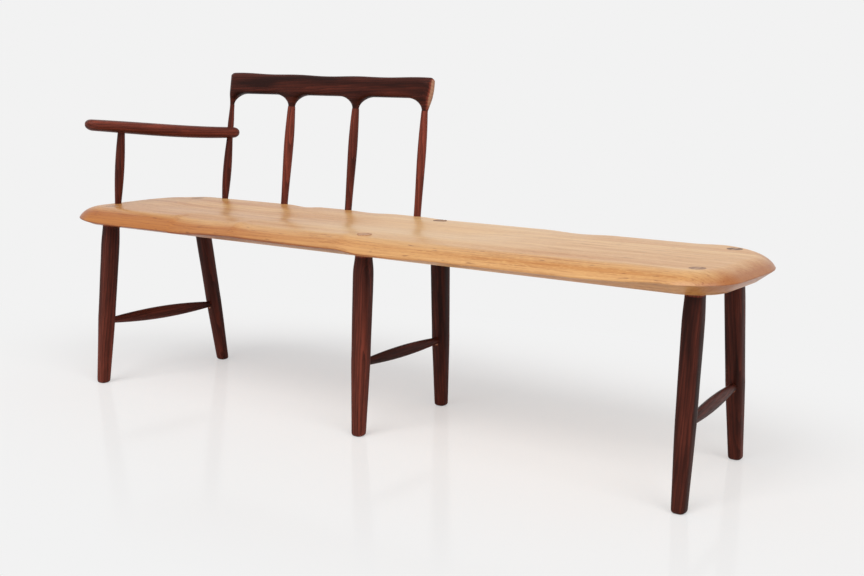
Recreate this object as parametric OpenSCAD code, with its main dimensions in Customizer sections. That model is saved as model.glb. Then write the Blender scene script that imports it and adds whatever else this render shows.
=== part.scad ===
// One-armed bench: a long carved plank seat on three pairs of shaved legs, with a short
// spindle back and a single arm at the left end. Millimetres, +Z up, +X to the sitter's
// left as the bench is seen from the front, +Y to the back. The floor is z = 0.

/* [Seat] */
// Length of the seat plank
seat_l = 1796; // [1550:1:2100]
// Width of the seat plank, front to back
seat_w = 392; // [360:1:460]
// Thickness of the plank at its flat top
seat_t = 45; // [36:1:60]
// Height of the seat top above the floor
seat_h = 450; // [400:1:500]
// Width of the rolled top edge along the front
front_roll = 45; // [30:1:50]
// Width of the rolled top edge along the back
rear_roll = 32; // [20:1:45]
// Width of the rolled top edge at the left end
left_roll = 78; // [45:1:85]
// Width of the rolled top edge at the right end
right_roll = 51; // [40:1:75]
// Height of the sharp arris above the underside, along the long sides
arris_side_h = 7.5; // [6:0.5:18]
// Rise of the arris at the ridges between the scoops
arris_rise = 4.5; // [0:0.5:7]
// Height of the sharp arris above the underside, at the left end
arris_left_h = 16; // [8:1:28]
// Height of the sharp arris above the underside, at the right end
arris_right_h = 22; // [8:1:28]
// Width of the undercut below the arris
undercut_w = 30; // [15:1:38]
// Plan radius of the two front corners
front_corner_r = 100; // [60:1:130]
// Plan radius of the two rear corners
rear_corner_r = 175; // [110:1:200]
// Depth of the long hollow in the sitting area
dish_depth = 6; // [0:0.5:9]
// Depth of the scoops carved over the front edge
scoop_depth = 5.5; // [0:0.5:7]
// Depth of the shallow dips that the spokeshave left along the rear edge
rear_dip = 4; // [0:0.5:5]

/* [Legs] */
// Distance of the front left leg's tenon from the seat's left end
left_leg_in = 112; // [95:1:140]
// Distance of the front right leg's tenon from the seat's right end
right_leg_in = 77; // [75:1:140]
// Distance of the middle pair to the right of the seat's centre
middle_shift = 49; // [-60:1:80]
// Distance of an end leg's tenon from the seat's centre line
end_tenon_y = 129; // [115:1:135]
// Distance of an end leg's foot from the seat's centre line
end_foot_y = 182; // [150:1:200]
// Distance of a middle leg's tenon from the seat's centre line
middle_tenon_y = 139; // [120:1:142]
// Distance of a middle leg's foot from the seat's centre line
middle_foot_y = 156; // [140:1:200]
// How far the rear end tenons stand in from the front ones, along the seat
rear_tenon_inset = 39; // [30:1:80]
// How far the end feet stand out from the front tenons, along the seat
front_foot_out = 3; // [0:1:30]
// How far the rear end feet stand in from the front ones, along the seat
rear_foot_inset = 54; // [30:1:90]
// Drift of the front end feet to the right, left by boring the mortises by eye
front_foot_drift = 3; // [-8:1:8]
// Drift of the rear end feet to the right
rear_foot_drift = 11; // [-12:1:12]
// Drift of the middle feet to the left
middle_foot_drift = 8; // [-10:1:10]
// Side of a leg at the foot
foot_side = 28; // [26:0.5:34]
// Side of a leg half way up
knee_side = 36.5; // [34:0.5:42]
// Side of a leg at its widest, below the seat
top_side = 38.5; // [36:0.5:44]
// Height of the widest place above the floor
widest_h = 350; // [250:1:370]
// Rounding of a leg's square section: 2 is round, 6 is nearly square
leg_squareness = 3; // [2.2:0.1:4]
// Diameter of the round tenon on a leg
leg_tenon_d = 32; // [26:0.5:33]

/* [Leg wedges] */
// Thickness of a wedge at its top
wedge_t = 3.6; // [2:0.2:5]
// Thickness of a wedge at its tip
wedge_tip = 0.8; // [0.4:0.1:1.4]
// Depth that a wedge is driven into its tenon
wedge_depth = 28; // [15:1:34]

/* [Stretchers] */
// Height of the left stretcher above the floor
left_stretcher_h = 158; // [110:1:230]
// Height of the middle stretcher above the floor
middle_stretcher_h = 163; // [110:1:230]
// Height of the right stretcher above the floor
right_stretcher_h = 162; // [110:1:230]
// Height of the left stretcher's section at its middle
left_swell = 33; // [24:1:36]
// Height of the middle stretcher's section at its middle
middle_swell = 28; // [20:1:36]
// Height of the right stretcher's section at its middle
right_swell = 31; // [24:1:36]
// Width of a stretcher's section over its height
stretcher_slimness = 0.8; // [0.6:0.05:1]
// Diameter of a stretcher's ends
stretcher_end_d = 16.5; // [14:0.5:19]
// Depth of a stretcher's end in its leg
stretcher_mortise = 13; // [8:1:14]

/* [Back] */
// Distance of the first spindle from the seat's left end
first_spindle_x = 214; // [200:1:260]
// Distance between neighbouring spindles at the seat
spindle_gap = 214.7; // [150:0.1:240]
// Distance between neighbouring spindles at the crest rail
boss_gap = 213; // [150:0.1:240]
// Distance of the spindles from the seat's rear arris
spindle_in = 27; // [24:1:40]
// Backward lean of the back
lean = 8.5; // [4:0.5:14]
// Length of a spindle between the seat and the crest rail
spindle_l = 250; // [230:1:300]
// Diameter of a spindle where it enters the seat
spindle_base_d = 16; // [14:0.5:19]
// Girth of each spindle's foot over the stated diameter, as they were shaved by eye
foot_girth = [1, 1.12, 1.08, 1.08]; // [0.85:0.01:1.15]
// Girth of each spindle's swell and neck over the stated diameters
girth = [1, 1.12, 1.04, 0.91]; // [0.85:0.01:1.15]
// Extra diameter of a spindle at its swell
spindle_swell = 5.4; // [2:0.2:7]
// Diameter of a spindle's neck under the crest rail
neck_d = 17; // [14:0.5:20]
// Diameter of the first spindle's neck, which is slimmer above the arm
first_neck_d = 12; // [11:0.5:14]
// Depth of a spindle in the seat
spindle_mortise = 30; // [20:1:34]

/* [Crest rail] */
// Height of the rail above its arches
rail_h = 49; // [36:1:70]
// Thickness of the rail
rail_t = 32; // [24:1:40]
// Thickness that the rail loses towards its top edge
rail_taper = 5; // [0:1:8]
// Rise of the arches, which is also the height of the bosses
arch_rise = 30; // [24:1:42]
// Length over which an arch curves down to a boss
arch_run = 47; // [28:1:48]
// Distance over which the rail's faces round off towards its edges
rail_edge = 26; // [16:1:32]
// Fullness of the rail's section: 2 is round, 4 is nearly square
rail_fullness = 3; // [2:0.1:4]
// Overhang of the rail's left end past the first spindle
left_overhang = 8; // [7:1:30]
// Overhang of the rail's right end past the last spindle
right_overhang = 19; // [14:1:34]
// Rise of the rail's top edge at its left end
left_rise = 5; // [0:0.5:10]
// Height of the slow waves that the plane left on the top edge
top_wave = 0.9; // [0:0.1:2]
// Depth of a spindle's tenon in its boss
boss_mortise = 22; // [12:1:30]

/* [Arm] */
// Height of the arm's mid-line above the seat, at the first spindle
arm_h = 174; // [150:1:200]
// Reach of the arm in front of the first spindle
arm_reach = 388; // [320:1:420]
// Length of the arm behind the first spindle
arm_tail = 25; // [22:1:40]
// Rise of the arm's front tip over its height at the spindle
arm_rise = 31.5; // [0:0.5:45]
// Angle that the arm splays outwards from the front-to-back direction
arm_splay = 23; // [10:1:26]
// Width of the arm near its front tip
arm_front_w = 58; // [46:1:70]
// Width of the arm at the first spindle
arm_rear_w = 42; // [36:1:50]
// Thickness of the arm at its ends
arm_t = 28; // [20:1:32]
// Extra thickness of the arm half way along
arm_belly = 4; // [0:0.5:5]
// Distance of the arm post from the first spindle, along the arm
post_along = 295; // [240:1:320]
// Distance of the arm post's foot from the seat's left end
post_foot_in = 79; // [75:1:110]
// Distance of the arm post's foot in front of the seat's centre line
post_foot_front = 82; // [50:1:90]
// Diameter of the arm post at the seat
post_end_d = 16.5; // [14:0.5:18]
// Diameter of the arm post at the arm
post_top_d = 18.5; // [15:0.5:20]
// Diameter of the arm post at its swell
post_swell_d = 23; // [20:0.5:28]
// Depth of the arm post in the arm
post_top_mortise = 12; // [8:1:14]
// Depth of the arm post in the seat
post_mortise = 30; // [20:1:34]

/* [Fit] */
// Clearance all round a tenon in its mortise
fit = 0.15; // [0.1:0.05:0.3]

/* [Hidden] */

cherry = "#d9a066";
maple = "#d8bd96";
walnut = "#4a241c";

$fn = 64;
underside = seat_h - seat_t;

// Pairs of legs from left to right, and rows from front to back
LEFT = 0;
MIDDLE = 1;
RIGHT = 2;
FRONT = 0;
REAR = 1;

// Place of an end pair's front tenon along the seat, and the direction inwards from it
function row_end(pair) = pair == LEFT ? left_leg_in - seat_l / 2 : seat_l / 2 - right_leg_in;
function inward(pair) = pair == LEFT ? 1 : -1;

// Tenon centre on the seat top, relative to the seat's centre
function tenon_at(pair, row) =
    pair == MIDDLE ? [middle_shift, (row == FRONT ? -1 : 1) * middle_tenon_y]
  : [row_end(pair) + (row == REAR ? inward(pair) * rear_tenon_inset : 0),
     (row == FRONT ? -1 : 1) * end_tenon_y];

// Centre of the foot on the floor
function foot_at(pair, row) =
    pair == MIDDLE ? [middle_shift - middle_foot_drift, (row == FRONT ? -1 : 1) * middle_foot_y]
  : [row_end(pair) + inward(pair) * ((row == REAR ? rear_foot_inset : 0) - front_foot_out)
       + (row == REAR ? rear_foot_drift : front_foot_drift),
     (row == FRONT ? -1 : 1) * end_foot_y];

// Centre of a leg at height z
function leg_centre(pair, row, z) =
    let (xy = mix(foot_at(pair, row), tenon_at(pair, row), z / seat_h)) [xy[0], xy[1], z];

// Spindles stand in one leaning plane, whose foot line lies on the seat top
back_y = seat_w / 2 - spindle_in;
spindle_x = [for (i = [0:3]) -seat_l / 2 + first_spindle_x + i * spindle_gap];
boss_x = [for (i = [0:3]) spindle_x[0] + i * boss_gap];
neck_r = [for (i = [0:3]) girth[i] * (i == 0 ? first_neck_d : neck_d) / 2];
base_r = [for (g = foot_girth) g * spindle_base_d / 2];
tenon_step = 2.5;
shoulder_gap = 0.2;
shoulder_l = spindle_l - shoulder_gap;
crest_top = spindle_l + arch_rise + rail_h;

// The first spindle crosses the arm at this place
arm_y = back_y + arm_h * tan(lean);
arm_on_spindle = arm_h / cos(lean);
arm_bore_r = first_neck_d / 2 + 2;
arm_dir = [-sin(arm_splay), -cos(arm_splay)];
post_top = [spindle_x[0] + arm_dir[0] * post_along, arm_y + arm_dir[1] * post_along,
            seat_h + arm_h + arm_climb(post_along)];
post_foot = [-seat_l / 2 + post_foot_in, -post_foot_front, seat_h];
post_r = post_end_d / 2;
post_top_r = post_top_d / 2;

// The part's origin lies under the middle of its depth
crest_back_y = back_y + crest_top * sin(lean) + (rail_t - rail_taper) / 2 * cos(lean);
foot_front_y = -end_foot_y - foot_side / 2;
frame_y = (crest_back_y + foot_front_y) / 2;

// Shared mathematics: blends, a soft square outline and the skin over a row of outlines
function mix(a, b, t) = a + (b - a) * t;
function clamp01(t) = max(0, min(1, t));
function ease(t) = let (u = clamp01(t)) u * u * (3 - 2 * u);
function sum(list, i = 0) = i >= len(list) ? 0 : list[i] + sum(list, i + 1);

function soft_oval(half_x, half_y, power, count) =
    [for (i = [0:count - 1])
        let (a = 360 * (i + 0.5) / count, c = cos(a), s = sin(a),
             r = pow(pow(abs(c), power) + pow(abs(s), power), -1 / power))
        [half_x * r * c, half_y * r * s]];

module skin(rings) {
    n = len(rings[0]);
    last = len(rings) - 1;
    points = [for (ring = rings, p = ring) p];
    sides = [for (i = [0:last - 1], j = [0:n - 1])
                let (a = i * n + j, b = i * n + (j + 1) % n)
                each [[a, a + n, b + n], [a, b + n, b]]];
    bottom = [for (j = [0:n - 1]) j];
    top = [for (j = [n - 1:-1:0]) last * n + j];
    polyhedron(points, concat([bottom], sides, [top]), convexity = 6);
}

module centred() {
    translate([0, -frame_y, 0]) children();
}

// Places children with their z axis running from a to b
module along(a, b) {
    d = b - a;
    turn = atan2(d[1], d[0]);
    translate(a) rotate([0, acos(d[2] / norm(d)), turn]) rotate([0, 0, -turn]) children();
}

// Places children in the leaning plane of the back, with its z axis up the back
module on_back() {
    translate([0, back_y, seat_h]) rotate([-lean, 0, 0]) children();
}

// Places children on the axis of spindle i. The spindles close up a little towards the rail
module on_spindle(i) {
    tilt = atan((boss_x[i] - spindle_x[i]) / spindle_l);
    on_back() translate([spindle_x[i], 0, 0]) rotate([0, tilt, 0]) children();
}

// Seat. The outline runs anticlockwise from the left end along the front
corner_steps = 7;
side_steps = 44;
half_ring = 2 * (corner_steps + 1) + side_steps;
least_r = 12;

// Point number i of the seat's outline at inset d: position and outward normal
function outline(i, d) =
    let (rear = i >= half_ring,
         k = rear ? 2 * half_ring - 1 - i : i,
         r = max((rear ? rear_corner_r : front_corner_r) - d, least_r),
         cx = seat_l / 2 - d - r,
         cy = (seat_w / 2 - d - r) * (rear ? 1 : -1),
         j = k <= corner_steps ? k : k - corner_steps - 1 - side_steps,
         turn = k <= corner_steps ? 180 + 90 * k / corner_steps : 270 + 90 * j / corner_steps,
         a = rear ? -turn : turn,
         on_side = k > corner_steps && j < 0)
    on_side ? [mix(-cx, cx, (k - corner_steps) / (side_steps + 1)),
               (seat_w / 2 - d) * (rear ? 1 : -1), 0, rear ? 1 : -1]
            : [(k <= corner_steps ? -cx : cx) + r * cos(a), cy + r * sin(a), cos(a), sin(a)];

// Ridges between the scoops on the front edge, as places along the seat
ridges = [spindle_x[0] + 0.8 * spindle_gap, spindle_x[0] + 1.77 * spindle_gap,
          spindle_x[3] + 0.26 * spindle_gap, seat_l * 0.38];
scoop_share = [1, 1, 0.85];

// A scoop starts steeply at its left ridge and runs out slowly to the right
function scoop_cut(u) = u > 0 && u < 1 ? pow(sin(180 * pow(u, 0.62)), 0.6) : 0;
function scoop(x) =
    sum([for (i = [0:2])
            scoop_share[i] * scoop_cut((x - ridges[i]) / (ridges[i + 1] - ridges[i]))]) * scoop_depth;
scoop_start_y = 90;
function scoop_reach(y) = ease((-y - scoop_start_y) / (seat_w / 2 - scoop_start_y));

// Long hollow where people sit, under the back and a little past it
dish_half_w = 115;
dish_in = 130;
dish_past = 420;
dish_from = -seat_l / 2 + dish_in;
dish_to = spindle_x[3] + dish_past;
dish_fade = 190;
function dish(x, y) =
    dish_depth * ease((x - dish_from) / dish_fade) * ease((dish_to - x) / dish_fade)
        * ease((dish_half_w - abs(y - 8)) / dish_half_w);

// Dips along the rear edge: place, half length and share of the full depth
rear_dips = [[left_roll - seat_l / 2, 75, 1],
             [spindle_x[1] + 75, 55, 1], [spindle_x[2] + 75, 80, 0.72],
             [seat_l * 0.2, seat_l * 0.22, 0.78], [seat_l * 0.226, 85, 0.85]];
rear_start_y = 95;
function dips(x) =
    rear_dip * sum([for (d = rear_dips) d[2] * ease((d[1] - abs(x - d[0])) / min(d[1], 80))]);
function dip_reach(y) = ease((y - rear_start_y) / (seat_w / 2 - rear_start_y));

function seat_top(x, y) =
    seat_h - dish(x, y) - scoop(x) * scoop_reach(y) - dips(x) * dip_reach(y);

function roll_width(nx, ny) =
    mix(nx < 0 ? left_roll : right_roll, ny < 0 ? front_roll : rear_roll, ny * ny);

// The arris wanders: it rises at the ridges and climbs to both ends, the last part of each side
ridge_half = 80;
left_climb = [138, 120];
right_climb = [498, 440];
function arris_h(x) =
    let (climb = x < 0 ? left_climb : right_climb,
         ridge = sum([for (i = [0:2]) ease((ridge_half - abs(x - ridges[i])) / ridge_half)]))
    mix(arris_side_h + arris_rise * ridge, x < 0 ? arris_left_h : arris_right_h,
        ease((abs(x) - seat_l / 2 + climb[0]) / climb[1]));

// Share of the drop to the arris at share u of the rolled width, 0 being the arris
roll_bite = 0.95;
function roll_drop(u) =
    (1 - sqrt(1 - pow(roll_bite * (1 - clamp01(u)), 2))) / (1 - sqrt(1 - roll_bite * roll_bite));

function seat_point(i, d) =
    let (p = outline(i, d),
         low = seat_h - seat_top(p[0], p[1]),
         roll = roll_drop(d / roll_width(p[2], p[3])),
         drop = (seat_t - arris_h(p[0])) * roll)
    [p[0], p[1], seat_h - drop - low * (1 - 0.7 * roll)];

roll_shares = [0, 0.04, 0.14, 0.32, 0.6, 1];
flat_insets = [72, 100, 135, seat_w / 2 - 31];

module seat_plank() {
    n = 2 * half_ring;
    under = [for (i = [0:n - 1]) let (p = outline(i, undercut_w)) [p[0], p[1], underside]];
    rolled = [for (u = roll_shares)
                 [for (i = [0:n - 1])
                      let (p = outline(i, 0)) seat_point(i, u * roll_width(p[2], p[3]))]];
    flat = [for (d = flat_insets) [for (i = [0:n - 1]) seat_point(i, d)]];
    rings = concat([under], rolled, flat);
    last = len(rings) - 1;
    points = [for (ring = rings, p = ring) p];
    sides = [for (i = [0:last - 1], j = [0:n - 1])
                let (a = i * n + j, b = i * n + (j + 1) % n)
                each [[a, a + n, b + n], [a, b + n, b]]];
    spine = [for (k = [0:half_ring - 2])
                let (a = last * n + k, b = last * n + n - 1 - k)
                each [[a, b, b - 1], [a, b - 1, a + 1]]];
    bottom = [for (j = [0:n - 1]) j];
    polyhedron(points, concat([bottom], sides, spine), convexity = 6);
}

module leg_bore(pair, row) {
    a = leg_centre(pair, row, underside - 15);
    b = leg_centre(pair, row, seat_h + 15);
    along(a, b) cylinder(d = leg_tenon_d + 2 * fit, h = norm(b - a));
}

module seat() {
    color(cherry) centred() difference() {
        seat_plank();
        for (pair = [LEFT:RIGHT], row = [FRONT, REAR]) leg_bore(pair, row);
        for (i = [0:3]) on_spindle(i)
            translate([0, 0, -spindle_mortise - 1])
                cylinder(r = base_r[i] + fit, h = spindle_mortise + 16);
        along(post_foot, post_top) translate([0, 0, -post_mortise - 1])
            cylinder(r = post_r + fit, h = post_mortise + 16);
    }
}

// Legs. Each is shaved from square stock, swells under the seat and ends in a round tenon
foot_chamfer = 4;
function leg_side(z) =
    z < foot_chamfer ? foot_side - 2 * (foot_chamfer - z)
  : z < widest_h / 2 ? mix(foot_side, knee_side, ease(z / widest_h + 0.02))
      + (knee_side - foot_side) * 0.5 * sin(180 * z / widest_h)
  : z < widest_h ? mix(knee_side, top_side, ease(2 * z / widest_h - 1))
  : top_side - 2.5 * ease((z - widest_h) / (underside - widest_h));

leg_heights = [for (t = [0, 0.004, 0.011, 0.07, 0.16, 0.28, 0.42, 0.58, 0.75, 0.87, 0.95, 1])
                  t * underside];

module leg_body(pair, row) {
    skin([for (z = leg_heights)
             let (c = leg_centre(pair, row, z), s = leg_side(z) / 2)
             [for (p = soft_oval(s, s, leg_squareness, 24)) [c[0] + p[0], c[1] + p[1], z]]]);
}

// The round tenon, cut off level with the seat top
module leg_tenon(pair, row) {
    a = leg_centre(pair, row, underside - 12);
    b = leg_centre(pair, row, seat_h + 12);
    t = tenon_at(pair, row);
    difference() {
        along(a, b) cylinder(d = leg_tenon_d, h = norm(b - a));
        translate([t[0] - 60, t[1] - 60, seat_top(t[0], t[1])]) cube([120, 120, 40]);
    }
}

// A wedge runs across the seat's grain, so that it can't split the plank
module wedge_blade(pair, row, slack) {
    t = tenon_at(pair, row);
    foot = wedge_tip / 2 + slack;
    head = wedge_t / 2 + slack;
    translate([t[0], t[1] + 40, seat_top(t[0], t[1])]) rotate([90, 0, 0])
        linear_extrude(80)
            polygon([[-foot, -wedge_depth - slack], [foot, -wedge_depth - slack],
                     [head, 0.01 + slack], [-head, 0.01 + slack]]);
}

module leg(pair, row) {
    z = stretcher_h[pair];
    here = leg_centre(pair, row, z);
    there = leg_centre(pair, row == FRONT ? REAR : FRONT, z);
    depth = leg_side(z) / 2;
    color(walnut) centred() difference() {
        union() {
            leg_body(pair, row);
            leg_tenon(pair, row);
        }
        wedge_blade(pair, row, 0.06);
        along(here, there) translate([0, 0, depth - stretcher_mortise - 1])
            cylinder(d = stretcher_end_d + 2 * fit, h = stretcher_mortise + 12);
    }
}

module leg_wedge(pair, row) {
    color(maple) centred() intersection() {
        wedge_blade(pair, row, 0);
        leg_tenon(pair, row);
    }
}

// Stretchers. Each is a shaved cigar, taller than it is wide, with round ends
stretcher_h = [left_stretcher_h, middle_stretcher_h, right_stretcher_h];
stretcher_swell = [left_swell, middle_swell, right_swell];

module stretcher(pair) {
    swell = stretcher_swell[pair];
    z = stretcher_h[pair];
    a = leg_centre(pair, FRONT, z);
    b = leg_centre(pair, REAR, z);
    l = norm(b - a);
    turn = atan2(b[1] - a[1], b[0] - a[0]);
    face = leg_side(z) / 2;
    end_r = stretcher_end_d / 2;
    bare = face + 5;
    collar = 8;
    steps = 14;
    color(walnut) centred() along(a, b) rotate([0, 0, turn]) {
        skin([for (i = [0:steps])
                 let (t = i / steps, grow = pow(sin(180 * t), 0.85),
                      tall = mix(end_r - 0.3, swell / 2, grow),
                      wide = mix(end_r - 0.3, swell / 2 * stretcher_slimness, grow))
                 [for (p = soft_oval(tall, wide, 2.3, 16))
                     [p[0], p[1], mix(bare, l - bare, t)]]]);
        for (z = [face - stretcher_mortise, l - bare - collar])
            translate([0, 0, z])
                cylinder(r = end_r, h = stretcher_mortise + 5 + collar);
    }
}

// Spindles. Shaved round and swollen above the middle, with a tenon at each end
spindle_steps = 22;
function spindle_r(i, u) =
    mix(base_r[i], neck_r[i], u) + girth[i] * spindle_swell / 2 * sin(180 * pow(clamp01(u), 1.5));

module spindle(i) {
    r_tenon = neck_r[i] - tenon_step;
    body = [for (k = [0:spindle_steps])
               let (u = k / spindle_steps) [spindle_r(i, u), u * shoulder_l]];
    color(walnut) centred() on_spindle(i) rotate_extrude()
        polygon(concat([[0, -spindle_mortise], [base_r[i], -spindle_mortise]], body,
                       [[r_tenon, shoulder_l], [r_tenon, spindle_l + boss_mortise - 1],
                        [0, spindle_l + boss_mortise - 1]]));
}

// The first spindle swells lower down and is slim where it passes through the arm
module arm_spindle() {
    r_base = base_r[0];
    r_neck = neck_r[0];
    r_tenon = r_neck - tenon_step;
    low = arm_on_spindle - arm_t / 2 - 4;
    high = arm_on_spindle + arm_t / 2 + 6;
    lower = [for (k = [0:16]) let (u = k / 16)
                [mix(r_base, arm_bore_r, u * u)
                     + (spindle_swell / 2 + 0.6) * sin(180 * pow(u, 0.9)), u * low]];
    upper = [for (k = [0:6]) let (u = k / 6) [mix(arm_bore_r, r_neck, ease(u)),
                                              mix(high, shoulder_l, u)]];
    color(walnut) centred() on_spindle(0) rotate_extrude()
        polygon(concat([[0, -spindle_mortise], [r_base, -spindle_mortise]], lower, upper,
                       [[r_tenon, shoulder_l], [r_tenon, spindle_l + boss_mortise - 1],
                        [0, spindle_l + boss_mortise - 1]]));
}

// Crest rail. One plank whose lower edge is cut into arches that meet in bosses. Each boss
// is round where its spindle joins it and grows into the flat rail above
rail_from = boss_x[0] - left_overhang;
rail_to = boss_x[3] + right_overhang;
arch_top = spindle_l + arch_rise;
end_curve_h = 2 * arch_rise;
top_corner_r = 12;

function nearest(x) =
    let (i = round((x - boss_x[0]) / boss_gap)) max(0, min(3, i));

// Distance from a point of the rail's face to the arch left of spindle j + 1
function to_arch(j, x, w) =
    let (a = boss_x[j] + neck_r[j] + arch_run,
         b = boss_x[j + 1] - neck_r[j + 1] - arch_run)
    norm([(x - max(a, min(b, x))) * arch_rise / arch_run, w - spindle_l]) - arch_rise;

// How far the rail's end stands past its neck at height w, for an overhang of e
function end_reach(w, r, e) = r + (e - r) * sin(90 * clamp01((w - spindle_l) / end_curve_h));

function rail_top(x) =
    let (side = min(x - rail_from, rail_to - x),
         dip = top_corner_r - sqrt(pow(top_corner_r, 2) - pow(max(0, top_corner_r - side), 2)),
         share = (x - rail_from) / (rail_to - rail_from))
    crest_top + left_rise * (1 - ease(share / 0.6)) - dip + top_wave * sin(1260 * share);

function rail_bottom(x) =
    let (i = nearest(x), u = abs(x - boss_x[i]) - neck_r[i],
         outer = (i == 0 && x < boss_x[0]) || (i == 3 && x > boss_x[3]),
         e = i == 0 ? left_overhang : right_overhang)
    u <= 0 ? spindle_l
  : outer ? spindle_l + end_curve_h * asin(clamp01(u / (e - neck_r[i]))) / 90
  : spindle_l + arch_rise * sqrt(1 - pow(1 - clamp01(u / arch_run), 2));

// Half thickness of the rail at a point of its face, at share k of its height there
function rail_half(x, w, k) =
    let (i = nearest(x),
         grown = ease((w - spindle_l) / arch_rise),
         t = mix(mix(neck_r[i], rail_t / 2, grown), (rail_t - rail_taper) / 2,
                 clamp01((w - arch_top) / rail_h)),
         edge = mix(neck_r[i], rail_edge, grown),
         power = mix(2, rail_fullness, grown),
         d = min(min([for (j = [0:2]) to_arch(j, x, w)]), rail_top(x) - w,
                 boss_x[3] + end_reach(w, neck_r[3], right_overhang) - x,
                 x - boss_x[0] + end_reach(w, neck_r[0], left_overhang)),
         least = mix(0.06, 0.3, grown) * (1 - 0.3 * pow(2 * k - 1, 2)))
    t * pow(max(1 - pow(1 - clamp01(d / edge), power), pow(least, power)), 1 / power);

rail_levels = [0, 0.06, 0.15, 0.3, 0.5, 0.72, 0.88, 0.96, 1];
boss_shares = [-0.94, -0.75, -0.4, 0, 0.4, 0.75, 0.94];
arch_shares = [0.02, 0.08, 0.2, 0.38, 0.65];
rail_stations = concat(
    [for (t = [0, 0.25, 0.6, 0.88]) mix(rail_from, boss_x[0] - neck_r[0], t)],
    [for (i = [0:3])
        each concat([boss_x[i] - neck_r[i]],
                    [for (s = boss_shares) boss_x[i] + s * neck_r[i]],
                    [boss_x[i] + neck_r[i]],
                    i == 3 ? [] :
                    let (a = boss_x[i] + neck_r[i], b = boss_x[i + 1] - neck_r[i + 1])
                    concat([for (s = arch_shares) a + s * arch_run],
                           [for (s = [0:3]) mix(a + arch_run, b - arch_run, s / 3)],
                           [for (s = [4:-1:0]) b - arch_shares[s] * arch_run]))],
    [for (t = [0.12, 0.4, 0.75, 1]) mix(boss_x[3] + neck_r[3], rail_to, t)]);

module crest_rail() {
    rings = [for (x = rail_stations)
                let (low = rail_bottom(x), high = rail_top(x),
                     side = [for (k = rail_levels)
                                let (w = mix(low, high, k)) [rail_half(x, w, k), w]])
                concat([for (p = side) [x, p[0], p[1]]],
                       [for (k = [len(side) - 1:-1:0]) [x, -side[k][0], side[k][1]]])];
    color(walnut) centred() difference() {
        on_back() skin(rings);
        for (i = [0:3]) on_spindle(i) translate([0, 0, spindle_l - 1])
            cylinder(r = neck_r[i] - tenon_step + fit, h = boss_mortise + 1);
    }
}

// Arm. A flat paddle that climbs to the front, full at the front and slim at the spindle
function arm_climb(s) =
    let (t = s / arm_reach) arm_rise * (0.25 * t + 1.45 * t * t - 0.7 * pow(t, 3));

arm_nose = arm_t / 2;
arm_front_r = arm_front_w / 2;
arm_rear_r = arm_rear_w / 2;
arm_stations = concat(
    [for (a = [84, 68, 50, 28]) -arm_tail + arm_rear_r * (1 - sin(a))],
    [for (t = [0, 0.12, 0.26, 0.42, 0.58, 0.74, 0.88, 1])
        mix(arm_rear_r - arm_tail, arm_reach - arm_front_r, t)],
    [for (a = [22, 40, 56, 70, 80, 87]) arm_reach - arm_front_r * (1 - sin(a))]);

function arm_half_w(s) =
    let (wide = mix(arm_rear_r, arm_front_r, ease((s + 10) / (arm_reach * 0.85))),
         front = clamp01((s - arm_reach + arm_front_r) / arm_front_r),
         rear = clamp01((arm_rear_r - arm_tail - s) / arm_rear_r))
    wide * sqrt(1 - front * front) * sqrt(1 - rear * rear);

function arm_half_t(s) =
    let (end = min(arm_reach - s, s + arm_tail),
         share = clamp01(1 - end / arm_nose),
         belly = sin(180 * clamp01((s + arm_tail) / (arm_reach + arm_tail))))
    (arm_t + arm_belly * belly) / 2 * sqrt(1 - pow(0.93 * share, 2));

// Section of the arm: a soft flat top and a longer bevel below
arm_points = 22;
function arm_section(s) =
    [for (i = [0:arm_points - 1])
        let (a = 360 * (i + 0.5) / arm_points, c = cos(a), z = sin(a),
             power = z > 0 ? 3.6 : 2.5,
             r = pow(pow(abs(c), power) + pow(abs(z), power), -1 / power))
        [s, arm_half_w(s) * r * c, arm_climb(s) + arm_half_t(s) * r * z]];

module armrest() {
    color(walnut) centred() difference() {
        translate([spindle_x[0], arm_y, seat_h + arm_h]) rotate([0, 0, -90 - arm_splay])
            skin([for (s = arm_stations) arm_section(s)]);
        on_back() translate([spindle_x[0], 0, arm_on_spindle - arm_t])
            cylinder(r = arm_bore_r + fit, h = 2 * arm_t);
        along(post_foot, post_top)
            translate([0, 0, norm(post_top - post_foot) - arm_t / 2 - 20])
                cylinder(r = post_top_r + fit, h = 20 + post_top_mortise);
    }
}

// Arm post. Shaved round, swollen at its middle
module arm_post() {
    l = norm(post_top - post_foot);
    top = l - arm_t / 2 + post_top_mortise - 1;
    bare = l - arm_t / 2 - 2;
    body = [for (k = [0:18]) let (u = k / 18)
               [mix(post_r, post_top_r, u) + (post_swell_d - post_end_d) / 2 * sin(180 * u),
                mix(2, bare, u)]];
    color(walnut) centred() along(post_foot, post_top) rotate_extrude()
        polygon(concat([[0, -post_mortise], [post_r, -post_mortise]], body,
                       [[post_top_r, top], [0, top]]));
}

seat();
leg(LEFT, FRONT);  // leg_front_left
leg(LEFT, REAR);  // leg_rear_left
leg(MIDDLE, FRONT);  // leg_front_middle
leg(MIDDLE, REAR);  // leg_rear_middle
leg(RIGHT, FRONT);  // leg_front_right
leg(RIGHT, REAR);  // leg_rear_right
leg_wedge(LEFT, FRONT);  // wedge_front_left
leg_wedge(LEFT, REAR);  // wedge_rear_left
leg_wedge(MIDDLE, FRONT);  // wedge_front_middle
leg_wedge(MIDDLE, REAR);  // wedge_rear_middle
leg_wedge(RIGHT, FRONT);  // wedge_front_right
leg_wedge(RIGHT, REAR);  // wedge_rear_right
stretcher(LEFT);  // stretcher_left
stretcher(MIDDLE);  // stretcher_middle
stretcher(RIGHT);  // stretcher_right
arm_spindle();  // spindle_1
spindle(1);  // spindle_2
spindle(2);  // spindle_3
spindle(3);  // spindle_4
crest_rail();
armrest();
arm_post();
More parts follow.
